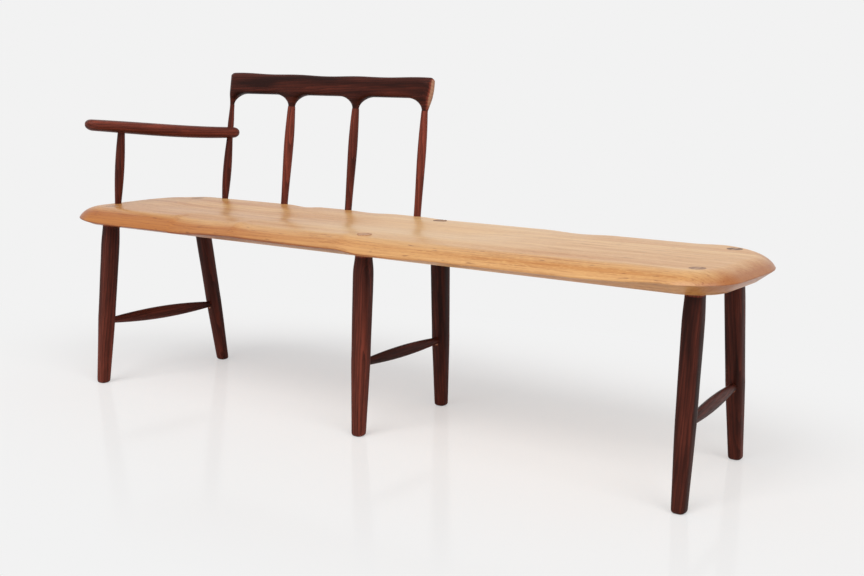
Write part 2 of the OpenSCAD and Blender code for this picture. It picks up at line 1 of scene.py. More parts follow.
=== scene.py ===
"""A one-armed bench: a long carved cherry plank on six shaved walnut legs, with a short spindle back
and a single arm at its left end. Sizes are in millimetres in the plank's own axes, and spot() turns
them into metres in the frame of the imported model."""
from math import asin, atan, atan2, cos, hypot, pi, radians, sin, sqrt, tan, tau

import bmesh
import bpy
from mathutils import Matrix, Vector, noise


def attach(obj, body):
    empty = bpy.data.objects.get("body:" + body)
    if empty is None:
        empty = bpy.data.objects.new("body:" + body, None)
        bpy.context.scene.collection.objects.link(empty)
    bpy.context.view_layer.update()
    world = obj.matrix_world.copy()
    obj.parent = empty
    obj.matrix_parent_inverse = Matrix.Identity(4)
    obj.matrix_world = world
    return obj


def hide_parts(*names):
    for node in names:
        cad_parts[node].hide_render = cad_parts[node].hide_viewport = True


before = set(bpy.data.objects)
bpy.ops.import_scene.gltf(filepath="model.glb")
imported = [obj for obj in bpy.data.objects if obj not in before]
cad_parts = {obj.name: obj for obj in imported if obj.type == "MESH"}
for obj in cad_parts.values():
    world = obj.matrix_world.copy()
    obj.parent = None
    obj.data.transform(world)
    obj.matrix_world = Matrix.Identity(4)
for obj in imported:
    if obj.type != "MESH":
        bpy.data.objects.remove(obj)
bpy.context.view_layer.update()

# Seat plank: one board of cherry, 1.8 m long, sawn to a long outline with round corners. Its top was
# rolled over to a sharp arris with drawknife and spokeshave, hollowed where people sit, and scooped
# along the front. Six legs, four spindles and the arm post stand in round mortises bored by eye.
SEAT_L, SEAT_W, SEAT_T, SEAT_H = 1796, 392, 45, 450
UNDERSIDE = SEAT_H - SEAT_T
SEAT_LINE = 17.4905  # the plank's centre line lies this far in front of the model's origin
FIT = 0.15  # the glue line round every tenon
FRONT_ROLL, REAR_ROLL, LEFT_ROLL, RIGHT_ROLL = 45, 32, 78, 51
ROLL_ARC = 0.95  # sine of the angle that a rolled edge turns through
UNDERCUT = 30
FRONT_CORNER, REAR_CORNER, LEAST_CORNER = 100, 175, 12
CORNER_STEPS, SIDE_STEPS = 15, 168
HALF_RING = 2 * (CORNER_STEPS + 1) + SIDE_STEPS
# The spokeshave's hollows: mean depth, length, width, and how far from the arris they fade out.
TOOL_MARK, MARK_LENGTH, MARK_WIDTH, MARK_FADE = 0.09, 120, 60, 12
# Places along the seat, and the arris's height over the underside there.
ARRIS = [(-900, 16), (-880, 16), (-760, 8.5), (-500, 8.5), (-370, 14), (-304, 15.5), (-145, 14),
         (10, 14), (75, 8.5), (150, 9), (260, 13.5), (585, 14), (682, 16), (770, 21.5), (900, 22)]
FIRST_SPINDLE_IN, SPINDLE_GAP = 214, 214.7
SPINDLE_X = [FIRST_SPINDLE_IN - SEAT_L / 2 + SPINDLE_GAP * i for i in range(4)]
# The dish starts in from the left end, ends past the last spindle, and lies a little to the back.
DISH, DISH_IN, DISH_PAST, DISH_FADE, DISH_Y, DISH_HALF = 6, 130, 420, 190, 8, 115
# Three scoops over the front edge, between ridges. They keep part of their depth at the arris.
SCOOP, SCOOP_FROM, SCOOP_LOST, SCOOP_SHARE = 7, 90, 0.7, [1, 1, 0.85]
RIDGES = [SPINDLE_X[0] + 0.8 * SPINDLE_GAP, SPINDLE_X[0] + 1.77 * SPINDLE_GAP,
          SPINDLE_X[3] + 0.26 * SPINDLE_GAP, 0.38 * SEAT_L]
# Shallow dips along the rear edge: middle, half length and share of the full depth.
REAR_DIP, DIP_FROM, DIP_RUN = 4, 95, 80
REAR_DIPS = [(LEFT_ROLL - SEAT_L / 2, 75, 1), (SPINDLE_X[1] + 75, 55, 1),
             (SPINDLE_X[2] + 75, 80, 0.72), (SEAT_L * 0.2, SEAT_L * 0.22, 0.78),
             (SEAT_L * 0.226, 85, 0.85)]


def spot(x, y, z):
    """A place given in millimetres in the plank's axes, in metres in the model's frame."""
    return Vector((x, y - SEAT_LINE, z)) / 1000


def mix(a, b, t):
    return a + (b - a) * t


def clamp01(t):
    return max(0.0, min(1.0, t))


def ease(t):
    t = clamp01(t)
    return t * t * (3 - 2 * t)


def shaved_bar(name, around, rings, place, open_top=False):
    """Adds a round bar, cuts it into rings, and draws every point of every ring to its place."""
    bpy.ops.object.select_all(action="DESELECT")
    bpy.ops.mesh.primitive_cylinder_add(vertices=around, radius=1, depth=1)
    bar = bpy.context.object
    bar.name = bar.data.name = name
    bpy.ops.object.mode_set(mode="EDIT")
    bpy.ops.mesh.select_mode(type="EDGE")
    bpy.ops.mesh.select_all(action="DESELECT")
    shape = bmesh.from_edit_mesh(bar.data)
    for edge in shape.edges:
        edge.select = abs(edge.verts[0].co.z - edge.verts[1].co.z) > 0.5
    bmesh.update_edit_mesh(bar.data)
    bpy.ops.mesh.subdivide_edgering(number_cuts=rings - 2, interpolation="LINEAR")
    if open_top:
        bpy.ops.mesh.select_mode(type="FACE")
        bpy.ops.mesh.select_all(action="DESELECT")
        shape = bmesh.from_edit_mesh(bar.data)
        for face in shape.faces:
            face.select = face.normal.z > 0.9
        bmesh.update_edit_mesh(bar.data)
        bpy.ops.mesh.delete(type="ONLY_FACE")
    bpy.ops.object.mode_set(mode="OBJECT")
    for point in bar.data.vertices:
        step = round(atan2(point.co.y, point.co.x) / tau * around) % around
        point.co = place(step, round((point.co.z + 0.5) * (rings - 1)))
    return bar


def rod(start, end, radius, around=64):
    """A round bar between two places, used as a drill."""
    run = end - start
    bpy.ops.object.select_all(action="DESELECT")
    bpy.ops.mesh.primitive_cylinder_add(vertices=around, radius=radius, depth=run.length,
                                        location=(start + end) / 2,
                                        rotation=run.to_track_quat("Z", "Y").to_euler())
    bpy.ops.object.transform_apply()
    return bpy.context.object


def cut(piece, tools, operation="DIFFERENCE"):
    """Takes the tools out of a piece, or keeps only what lies in them."""
    for tool in tools:
        saw = piece.modifiers.new("cut", "BOOLEAN")
        saw.object = tool
        saw.operation = operation
        saw.solver = "EXACT"
        bpy.ops.object.select_all(action="DESELECT")
        bpy.context.view_layer.objects.active = piece
        bpy.ops.object.modifier_apply(modifier=saw.name)
        bpy.data.objects.remove(tool)


def end_grain(slope):
    """How much of a face is end grain, from the cosine of the angle between its normal and the
    grain: nothing over 63 degrees, and all of it under 32."""
    return ease((slope - 0.45) / 0.4)


def finish_piece(piece, node, material, stick, shift=(0, 0, 0), tone=(0.5, 0.5), crease=38,
                 ends=0):
    """Merges doubles, turns the faces outwards, smooths the piece and hides the part it stands for.
    Each point keeps its place in the stick that it was cut from, whose grain runs along z, and its
    tone: from the first value at the stick's start to the second at its end, with ends added
    where a face is cut across the grain."""
    bpy.ops.object.select_all(action="DESELECT")
    piece.select_set(True)
    bpy.context.view_layer.objects.active = piece
    bpy.ops.object.mode_set(mode="EDIT")
    bpy.ops.mesh.select_all(action="SELECT")
    bpy.ops.mesh.remove_doubles(threshold=0.000005)
    bpy.ops.mesh.normals_make_consistent(inside=False)
    bpy.ops.object.mode_set(mode="OBJECT")
    bpy.ops.object.shade_smooth_by_angle(angle=radians(crease))
    back_to_stick = stick.inverted()
    piece.data.attributes.new("grain", "FLOAT_VECTOR", "POINT")
    piece.data.attributes.new("tone", "FLOAT", "POINT")
    places, tones = piece.data.attributes["grain"], piece.data.attributes["tone"]
    along = [(back_to_stick @ point.co).z for point in piece.data.vertices]
    start, end = min(along), max(along)
    grain_way = (stick.to_3x3() @ Vector((0, 0, 1))).normalized()
    for point, z in zip(piece.data.vertices, along):
        places.data[point.index].vector = back_to_stick @ point.co + Vector(shift)
        along_stick = (z - start) / (end - start)
        tones.data[point.index].value = (mix(*tone, along_stick)
                                         + ends * end_grain(point.normal.dot(grain_way)))
    piece.data.materials.clear()
    piece.data.materials.append(material)
    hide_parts(node)
    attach(piece, "root")


def outline(i, inset):
    """Point i of the plank's outline, anticlockwise from the left end, and its outward normal."""
    rear = i >= HALF_RING
    k = 2 * HALF_RING - 1 - i if rear else i
    side = 1 if rear else -1
    r = max((REAR_CORNER if rear else FRONT_CORNER) - inset, LEAST_CORNER)
    cx, cy = SEAT_L / 2 - inset - r, (SEAT_W / 2 - inset - r) * side
    if CORNER_STEPS < k <= CORNER_STEPS + SIDE_STEPS:
        along = (k - CORNER_STEPS) / (SIDE_STEPS + 1)
        return mix(-cx, cx, along), (SEAT_W / 2 - inset) * side, 0, side
    left = k <= CORNER_STEPS
    j = k if left else k - CORNER_STEPS - 1 - SIDE_STEPS
    a = radians((180 if left else 270) + 90 * j / CORNER_STEPS) * -side
    return (-cx if left else cx) + r * cos(a), cy + r * sin(a), cos(a), sin(a)


def seat_top(x, y):
    """Height of the carved top: the long dish, the scoops in front and the dips along the back.
    Each scoop is deepest nearer to its left ridge."""
    dish = (DISH * ease((x + SEAT_L / 2 - DISH_IN) / DISH_FADE)
            * ease((SPINDLE_X[3] + DISH_PAST - x) / DISH_FADE)
            * ease((DISH_HALF - abs(y - DISH_Y)) / DISH_HALF))
    scoop = 0
    for start, end, share in zip(RIDGES, RIDGES[1:], SCOOP_SHARE):
        if start < x < end:
            scoop = SCOOP * share * sin(pi * ((x - start) / (end - start)) ** 0.62) ** 0.6
    front = ease((-y - SCOOP_FROM) / (SEAT_W / 2 - SCOOP_FROM))
    back = ease((y - DIP_FROM) / (SEAT_W / 2 - DIP_FROM))
    dips = sum(share * ease((half - abs(x - middle)) / min(half, DIP_RUN))
               for middle, half, share in REAR_DIPS) * REAR_DIP
    return SEAT_H - dish - scoop * front - dips * back


def arris_height(x):
    """Height of the sharp edge over the underside. It wanders, and climbs to both ends."""
    for (x0, h0), (x1, h1) in zip(ARRIS, ARRIS[1:]):
        if x <= x1:
            return mix(h0, h1, ease((x - x0) / (x1 - x0)))


def roll_width(nx, ny):
    """Width of the rolled edge where the outline faces this way."""
    return mix(LEFT_ROLL if nx < 0 else RIGHT_ROLL, FRONT_ROLL if ny < 0 else REAR_ROLL, ny * ny)


def tool_mark(x, y):
    """Depth of the shallow hollows that the spokeshave left."""
    return TOOL_MARK * (1 + noise.noise(Vector((x / MARK_LENGTH, y / MARK_WIDTH, 4.1))))


def seat_point(i, inset):
    """A point of the top at an inset: inside the rolled edge it lies on the carved top."""
    x, y, nx, ny = outline(i, inset)
    bite = ROLL_ARC * (1 - clamp01(inset / roll_width(nx, ny)))
    roll = (1 - sqrt(1 - bite * bite)) / (1 - sqrt(1 - ROLL_ARC * ROLL_ARC))
    rolled_off = (SEAT_T - arris_height(x)) * roll
    carved_off = (SEAT_H - seat_top(x, y)) * (1 - SCOOP_LOST * roll)
    return x, y, SEAT_H - rolled_off - carved_off - tool_mark(x, y) * ease(inset / MARK_FADE)


# The plank's rings, from the underside to its middle: shares of the undercut, shares of the rolled
# edge, shares of the way from there to FLAT_END, insets, and shares of the last ring's width.
UNDER = [0, 0.35, 0.7]
ROLL = [0, 0.012, 0.03, 0.055, 0.09, 0.13, 0.18, 0.24, 0.31, 0.39, 0.48, 0.58, 0.69, 0.8, 0.9, 1]
FLAT = [0.14, 0.3, 0.48, 0.66, 0.84, 1]
FLAT_END = 84
MIDDLE = [92, 100, 108, 117, 126, 136, 146, 156, 165]
SPINE = [0.8, 0.55, 0.28, 0]
SEAT_RINGS = len(UNDER) + len(ROLL) + len(FLAT) + len(MIDDLE) + len(SPINE)


def seat_place(i, ring):
    if ring < len(UNDER):
        x, y = outline(i, UNDERCUT * (1 - UNDER[ring]))[:2]
        return spot(x, y, mix(UNDERSIDE, seat_point(i, 0)[2], UNDER[ring]))
    ring -= len(UNDER)
    width = roll_width(*outline(i, 0)[2:])
    if ring < len(ROLL):
        return spot(*seat_point(i, ROLL[ring] * width))
    ring -= len(ROLL)
    if ring < len(FLAT):
        return spot(*seat_point(i, mix(width, FLAT_END, FLAT[ring])))
    ring -= len(FLAT)
    if ring < len(MIDDLE):
        return spot(*seat_point(i, MIDDLE[ring]))
    x, y = outline(i, MIDDLE[-1])[:2]
    y *= SPINE[ring - len(MIDDLE)]
    return spot(x, y, seat_top(x, y) - tool_mark(x, y))


def srgb(code):
    """A colour written as sRGB hex, as Blender's linear colour."""
    values = [int(code[i:i + 2], 16) / 255 for i in (1, 3, 5)]
    return [v / 12.92 if v <= 0.04045 else ((v + 0.055) / 1.055) ** 2.4 for v in values] + [1]


def add_node(tree, kind, inputs, **settings):
    """Adds a node with its settings. An input takes a value, or the output that is linked to it.
    A Mix of colours takes its factor at input 0 and its colours at 6 and 7, and output 2 is its
    result."""
    node = tree.nodes.new("ShaderNode" + kind)
    for name, value in settings.items():
        setattr(node, name, value)
    for name, value in inputs.items():
        if isinstance(value, bpy.types.NodeSocket):
            tree.links.new(value, node.inputs[name])
        else:
            node.inputs[name].default_value = value
    return node


def new_material(name):
    material = bpy.data.materials.new(name)
    material.use_nodes = True
    material.node_tree.nodes.clear()
    return material, material.node_tree


# Cherry, shaved and then oiled. The growth rings are 6.5 mm apart and show as long soft lines that
# close into arches where the carving cuts across them. Pale rays and dark gum flecks lie along the
# grain. Faces towards the ends are end grain and darker with oil. Painted shade darkens the left
# end, most on the rolled edges, and the arris. A painted highlight makes the middle of the top
# paler, and the face is satin.
cherry, wood = new_material("cherry_shaved_and_oiled")
grain = add_node(wood, "Attribute", {}, attribute_name="grain").outputs["Vector"]
stretched = add_node(wood, "Mapping", {"Vector": grain, "Scale": (1, 1, 0.045),
                                        "Rotation": (0.12, 0.2, 0)}).outputs[0]
warp = add_node(wood, "TexNoise", {"Vector": stretched, "Scale": 13, "Detail": 3}).outputs["Color"]
warp = add_node(wood, "VectorMath", {0: warp, 1: (0.03, 0.03, 0)}, operation="MULTIPLY").outputs[0]
bent = add_node(wood, "VectorMath", {0: stretched, 1: warp}, operation="ADD").outputs[0]
rings = add_node(wood, "TexWave", {"Vector": bent, "Scale": 48, "Distortion": 1.6, "Detail": 2,
                                   "Detail Scale": 0.6},
                 wave_type="RINGS", rings_direction="Z", wave_profile="SAW").outputs["Fac"]
rings = add_node(wood, "Math", {0: rings, 1: 2.6}, operation="POWER").outputs[0]
broad = add_node(wood, "TexNoise", {"Vector": stretched, "Scale": 26, "Detail": 4}).outputs["Fac"]
broad = add_node(wood, "MapRange", {"Value": broad, "From Min": 0.36, "From Max": 0.66}).outputs[0]
base = add_node(wood, "Mix", {0: broad, 6: srgb("#cd8e4b"), 7: srgb("#ecc084")},
                data_type="RGBA").outputs[2]
ringed = add_node(wood, "Math", {0: rings, 1: 0.28}, operation="MULTIPLY").outputs[0]
base = add_node(wood, "Mix", {0: ringed, 6: base, 7: srgb("#a9622c")}, data_type="RGBA").outputs[2]
# A noise's scale is its cells in a metre: fibres are 3.3 mm wide, rays 2.6 mm and flecks 4.8 mm, all
# coarser than real ones, so that they show, and 4 to 33 times as long as they are wide.
hair = add_node(wood, "Mapping", {"Vector": grain, "Scale": (1, 1, 0.03)}).outputs[0]
fibres = add_node(wood, "TexNoise", {"Vector": hair, "Scale": 300, "Detail": 5,
                                     "Roughness": 0.7}).outputs["Fac"]
hairs = add_node(wood, "MapRange", {"Value": fibres, "From Min": 0.5, "From Max": 0.7,
                                    "To Max": 0.7}).outputs[0]
base = add_node(wood, "Mix", {0: hairs, 6: base, 7: srgb("#a0622c")}, data_type="RGBA").outputs[2]
rays = add_node(wood, "Mapping", {"Vector": grain, "Scale": (1, 1, 0.22)}).outputs[0]
rays = add_node(wood, "TexNoise", {"Vector": rays, "Scale": 380, "Detail": 2}).outputs["Fac"]
rays = add_node(wood, "MapRange", {"Value": rays, "From Min": 0.5, "From Max": 0.72,
                                   "To Max": 0.55}).outputs[0]
base = add_node(wood, "Mix", {0: rays, 6: base, 7: srgb("#ebbd7c")}, data_type="RGBA").outputs[2]
flecks = add_node(wood, "Mapping", {"Vector": grain, "Scale": (1, 1, 0.16)}).outputs[0]
flecks = add_node(wood, "TexNoise", {"Vector": flecks, "Scale": 210, "Detail": 1}).outputs["Fac"]
flecks = add_node(wood, "MapRange", {"Value": flecks, "From Min": 0.69, "From Max": 0.76,
                                     "To Max": 0.6}).outputs[0]
base = add_node(wood, "Mix", {0: flecks, 6: base, 7: srgb("#7f4622")}, data_type="RGBA").outputs[2]
# Painted shade: darker towards the left end, more on the rolled edges than on the level top.
lengthwise = add_node(wood, "SeparateXYZ", {0: grain}).outputs["Z"]
darkening = add_node(wood, "MapRange", {"Value": lengthwise, "From Min": 0.7, "From Max": -0.5,
                                     "To Min": 0.25},
                  interpolation_type="SMOOTHSTEP").outputs[0]
turned = add_node(wood, "SeparateXYZ", {0: add_node(wood, "TexCoord", {}).outputs["Normal"]})
roll_shade = add_node(wood, "MapRange", {"Value": turned.outputs["Z"], "From Min": 0.99,
                                     "From Max": 0.8, "To Min": 0.3}).outputs[0]
darkening = add_node(wood, "Math", {0: darkening, 1: roll_shade}, operation="MULTIPLY").outputs[0]
base = add_node(wood, "Mix", {0: darkening, 6: base, 7: srgb("#c69b68")}, data_type="RGBA",
                blend_type="MULTIPLY").outputs[2]
# Painted highlight: the level top is paler about the middle of the board's length.
painted_sheen = add_node(wood, "Math", {0: lengthwise, 1: 0.34}, operation="SUBTRACT").outputs[0]
painted_sheen = add_node(wood, "Math", {0: painted_sheen}, operation="ABSOLUTE").outputs[0]
painted_sheen = add_node(wood, "MapRange", {"Value": painted_sheen, "From Min": 0.42, "From Max": 0.1,
                                   "To Max": 0.35},
                interpolation_type="SMOOTHSTEP").outputs[0]
level = add_node(wood, "MapRange", {"Value": turned.outputs["Z"], "From Min": 0.93,
                                    "From Max": 0.995}).outputs[0]
painted_sheen = add_node(wood, "Math", {0: painted_sheen, 1: level}, operation="MULTIPLY").outputs[0]
base = add_node(wood, "Mix", {0: painted_sheen, 6: base, 7: srgb("#f3d09b")}, data_type="RGBA").outputs[2]
facing = add_node(wood, "Math", {0: turned.outputs["X"]}, operation="ABSOLUTE").outputs[0]
facing = add_node(wood, "MapRange", {"Value": facing, "From Min": 0.1, "From Max": 0.6,
                                     "To Max": 0.7}).outputs[0]
base = add_node(wood, "Mix", {0: facing, 6: base, 7: srgb("#93480c")}, data_type="RGBA").outputs[2]
# The arris's points carry a tone that says how much painted shade darkens them.
arris_shade = add_node(wood, "Attribute", {}, attribute_name="tone").outputs["Fac"]
base = add_node(wood, "Mix", {0: arris_shade, 6: base, 7: srgb("#a87a34")}, data_type="RGBA",
                blend_type="MULTIPLY").outputs[2]
height = add_node(wood, "Math", {0: fibres, 1: ringed}, operation="ADD").outputs[0]
bump = add_node(wood, "Bump", {"Height": height, "Strength": 0.15, "Distance": 0.0004}).outputs[0]
gloss = add_node(wood, "MapRange", {"Value": fibres, "From Min": 0.35, "From Max": 0.7,
                                    "To Min": 0.3, "To Max": 0.42}).outputs[0]
skin = add_node(wood, "BsdfPrincipled", {"Base Color": base, "Roughness": gloss, "Normal": bump,
                                         "IOR": 1.5})
add_node(wood, "OutputMaterial", {"Surface": skin.outputs[0]})

# The places where the spindles, the arm post and the legs enter the seat. The spindles stand in one
# plane that leans back. Each was shaved by eye, so each has its own girth.
LEAN = radians(8.5)
BACK_IN = 27
BACK_Y = SEAT_W / 2 - BACK_IN
ON_BACK = (Matrix.Translation(spot(0, BACK_Y, SEAT_H)) @ Matrix.Rotation(-LEAN, 4, "X")
           @ Matrix.Scale(0.001, 4))
SPINDLE_L, BOSS_GAP = 250, 213
BOSS_X = [SPINDLE_X[0] + BOSS_GAP * i for i in range(4)]
FOOT_R, FIRST_NECK_D, NECK_D = 8, 12, 17
FOOT_GIRTH, GIRTH = [1, 1.12, 1.08, 1.08], [1, 1.12, 1.04, 0.91]
BASE_R = [FOOT_R * girth for girth in FOOT_GIRTH]
NECK_R = [GIRTH[i] * (FIRST_NECK_D if i == 0 else NECK_D) / 2 for i in range(4)]
ARM_H, ARM_REACH, ARM_TAIL, ARM_RISE, ARM_SPLAY = 174, 388, 25, 31.5, radians(23)
ARM_FRONT_R, ARM_REAR_R, ARM_T, ARM_BELLY = 29, 21, 28, 4
ARM_Y = BACK_Y + ARM_H * tan(LEAN)
POST_IN, POST_FRONT, POST_ALONG = 79, 82, 295
POST_END_R, POST_TOP_R = 8.25, 9.25
TENON_R = 16
# Each leg's tenon and foot, as places on the seat's top and on the floor.
LEGS = {"front_left": ((-786, -129), (-786, -182)), "rear_left": ((-747, 129), (-724, 182)),
        "front_middle": ((49, -139), (41, -156)), "rear_middle": ((49, 139), (41, 156)),
        "front_right": ((821, -129), (827, -182)), "rear_right": ((782, 129), (781, 182))}
BORE_DEPTH, DRILL_PAST = 31, 15


def on_spindle(i):
    """Places millimetres along spindle i, which tilts a little towards its boss on the rail."""
    tilt = atan((BOSS_X[i] - SPINDLE_X[i]) / SPINDLE_L)
    return ON_BACK @ Matrix.Translation((SPINDLE_X[i], 0, 0)) @ Matrix.Rotation(tilt, 4, "Y")


def arm_climb(s):
    """Height that the arm gains over a run of s millimetres: slowly at first, then faster."""
    t = s / ARM_REACH
    return ARM_RISE * (0.25 * t + 1.45 * t * t - 0.7 * t ** 3)


def leg_centre(name, z):
    tenon, foot = LEGS[name]
    return mix(foot[0], tenon[0], z / SEAT_H), mix(foot[1], tenon[1], z / SEAT_H)


POST_FOOT = spot(-SEAT_L / 2 + POST_IN, -POST_FRONT, SEAT_H)
POST_TOP = spot(SPINDLE_X[0] - sin(ARM_SPLAY) * POST_ALONG, ARM_Y - cos(ARM_SPLAY) * POST_ALONG,
                SEAT_H + ARM_H + arm_climb(POST_ALONG))
post_run = (POST_TOP - POST_FOOT).normalized()

plank = shaved_bar("seat_plank", 2 * HALF_RING, SEAT_RINGS, seat_place, open_top=True)
bpy.ops.object.mode_set(mode="EDIT")
bpy.ops.mesh.select_all(action="SELECT")
bpy.ops.mesh.remove_doubles(threshold=0.000005)
bpy.ops.object.mode_set(mode="OBJECT")
drills = [rod(spot(*leg_centre(leg, UNDERSIDE - DRILL_PAST), UNDERSIDE - DRILL_PAST),
              spot(*leg_centre(leg, SEAT_H + DRILL_PAST), SEAT_H + DRILL_PAST),
              (TENON_R + FIT) / 1000) for leg in LEGS]
drills += [rod(on_spindle(i) @ Vector((0, 0, -BORE_DEPTH)),
               on_spindle(i) @ Vector((0, 0, DRILL_PAST)),
               (BASE_R[i] + FIT) / 1000) for i in range(4)]
drills.append(rod(POST_FOOT - post_run * BORE_DEPTH / 1000,
                  POST_FOOT + post_run * DRILL_PAST / 1000, (POST_END_R + FIT) / 1000))
cut(plank, drills)
ALONG_X = Matrix(((0, 0, 1, 0), (0, 1, 0, 0), (-1, 0, 0, 0), (0, 0, 0, 1)))
finish_piece(plank, "seat", cherry, ALONG_X, shift=(0.52, -0.03, 0.2))

# Painted shade darkens the arris from the underside up to a little over its edge, and less on
# the right.
SHADE_OVER, SHADE_RIGHT = 2.5, 0.4
tones = plank.data.attributes["tone"]
for point in plank.data.vertices:
    edge = arris_height(point.co.x * 1000)
    rise = point.co.z * 1000 - UNDERSIDE - edge
    arris_shade = clamp01(1 + rise / edge if rise < 0 else 1 - rise / SHADE_OVER)
    tones.data[point.index].value = arris_shade * mix(1, SHADE_RIGHT, ease(point.co.x * 5 - 0.2))

# Walnut, shaved and oiled to a deep red-brown. Its pores are dark scratches along the grain, its
# rings wander in slow bands 6.3 mm apart, and a rubbed oil face keeps it dull. The tops of the
# tenons and the ends of the crest rail are end grain, paler partly as painted sheen. Where the
# tone of the end grain runs highest it is dark again.
walnut, wood = new_material("walnut_shaved_and_oiled")
grain = add_node(wood, "Attribute", {}, attribute_name="grain").outputs["Vector"]
tone = add_node(wood, "Attribute", {}, attribute_name="tone").outputs["Fac"]
stretched = add_node(wood, "Mapping", {"Vector": grain, "Scale": (1, 1, 0.08),
                                        "Rotation": (0.35, 0.5, 0)}).outputs[0]
warp = add_node(wood, "TexNoise", {"Vector": stretched, "Scale": 26, "Detail": 3}).outputs["Color"]
warp = add_node(wood, "VectorMath", {0: warp, 1: (0.02, 0.02, 0)}, operation="MULTIPLY").outputs[0]
bent = add_node(wood, "VectorMath", {0: stretched, 1: warp}, operation="ADD").outputs[0]
rings = add_node(wood, "TexWave", {"Vector": bent, "Scale": 50, "Distortion": 4, "Detail": 3,
                                   "Detail Scale": 1.6},
                 wave_type="RINGS", rings_direction="Z", wave_profile="SAW").outputs["Fac"]
broad = add_node(wood, "TexNoise", {"Vector": stretched, "Scale": 60, "Detail": 4}).outputs["Fac"]
# Pores are drawn 1.4 mm wide, coarser than real ones, so that they show.
hair = add_node(wood, "Mapping", {"Vector": grain, "Scale": (1, 1, 0.035)}).outputs[0]
fibres = add_node(wood, "TexNoise", {"Vector": hair, "Scale": 700, "Detail": 3,
                                     "Roughness": 0.7}).outputs["Fac"]
lifted = add_node(wood, "Math", {0: broad, 1: tone}, operation="ADD").outputs[0]
lifted = add_node(wood, "MapRange", {"Value": lifted, "From Min": 0.62,
                                     "From Max": 1.38}).outputs[0]
base = add_node(wood, "Mix", {0: lifted, 6: srgb("#270c06"), 7: srgb("#8a4232")},
                data_type="RGBA").outputs[2]
ringed = add_node(wood, "Math", {0: rings, 1: 0.6}, operation="MULTIPLY").outputs[0]
base = add_node(wood, "Mix", {0: ringed, 6: base, 7: srgb("#1f0a06")}, data_type="RGBA").outputs[2]
pores = add_node(wood, "MapRange", {"Value": fibres, "From Min": 0.52, "From Max": 0.7,
                                    "To Max": 0.6}).outputs[0]
base = add_node(wood, "Mix", {0: pores, 6: base, 7: srgb("#1d0a07")}, data_type="RGBA").outputs[2]
# Points on end grain carry a tone above 1.2 that gives a paler colour, partly painted sheen, and
# above 3.5 a darker one.
ends = add_node(wood, "Mix", {0: ringed, 6: srgb("#cca283"), 7: srgb("#a67c61")},
                data_type="RGBA").outputs[2]
darkening = add_node(wood, "MapRange", {"Value": tone, "From Min": 3.5, "From Max": 4.5}).outputs[0]
ends = add_node(wood, "Mix", {0: darkening, 6: ends, 7: srgb("#604636")}, data_type="RGBA").outputs[2]
across = add_node(wood, "MapRange", {"Value": tone, "From Min": 1.2, "From Max": 2.6}).outputs[0]
base = add_node(wood, "Mix", {0: across, 6: base, 7: ends}, data_type="RGBA").outputs[2]
bump = add_node(wood, "Bump", {"Height": fibres, "Strength": 0.2, "Distance": 0.0004}).outputs[0]
gloss = add_node(wood, "MapRange", {"Value": fibres, "From Min": 0.4, "From Max": 0.7,
                                    "To Min": 0.38, "To Max": 0.55}).outputs[0]
skin = add_node(wood, "BsdfPrincipled", {"Base Color": base, "Roughness": gloss, "Normal": bump,
                                         "IOR": 1.5, "Specular IOR Level": 0.1})
add_node(wood, "OutputMaterial", {"Surface": skin.outputs[0]})

# Maple, split from a pale offcut and oiled over with the tenons, so that its end grain has taken a
# dull tan. Fibres, drawn 1.1 mm wide so that they show, run along the wedge and keep it matt.
maple, wood = new_material("maple_split_and_oiled")
grain = add_node(wood, "Attribute", {}, attribute_name="grain").outputs["Vector"]
hair = add_node(wood, "Mapping", {"Vector": grain, "Scale": (1, 1, 0.08)}).outputs[0]
fibres = add_node(wood, "TexNoise", {"Vector": hair, "Scale": 900, "Detail": 2}).outputs["Fac"]
base = add_node(wood, "Mix", {0: fibres, 6: srgb("#c3a07e"), 7: srgb("#957254")},
                data_type="RGBA").outputs[2]
skin = add_node(wood, "BsdfPrincipled", {"Base Color": base, "Roughness": 0.5, "IOR": 1.5})
add_node(wood, "OutputMaterial", {"Surface": skin.outputs[0]})

# Legs: six sticks of walnut, shaved square with soft corners, widest a little below the seat and
# slim at the floor. Each ends in a round tenon that passes through the seat and is cut off flush,
# each tenon is split by a maple wedge, and each pair is bored for the ends of its stretcher.
FOOT_SIDE, KNEE_SIDE, TOP_SIDE, WIDEST = 28, 36.5, 38.5, 350
KNEE_FULLNESS, SWELL_LEAD, TOP_DRAWN_IN = 0.5, 0.02, 2.5
LEG_SQUARE, FOOT_ROUND, LEG_MARKS = 3.1, 6.5, 0.012
# Each leg's girth at the foot and at the seat, as shares of the sides above.
LEG_GIRTH = {"front_left": (1.03, 1.06), "rear_left": (1, 0.95), "front_middle": (1.02, 1.05),
             "rear_middle": (1.02, 1.05), "front_right": (1.01, 1), "rear_right": (1.01, 1)}
# Each leg's tone at the foot and at the tenon, lower at the tenon as painted shade under the seat,
# and what its end grain adds.
LEG_TONE = {"front_left": (0.56, 0.26, 3.4), "rear_left": (0.4, 0.22, 3.6),
            "front_middle": (0.48, 0.34, 3), "rear_middle": (0.3, 0.12, 4),
            "front_right": (0.2, 0.16, 3.8), "rear_right": (0.34, 0.2, 4.1)}
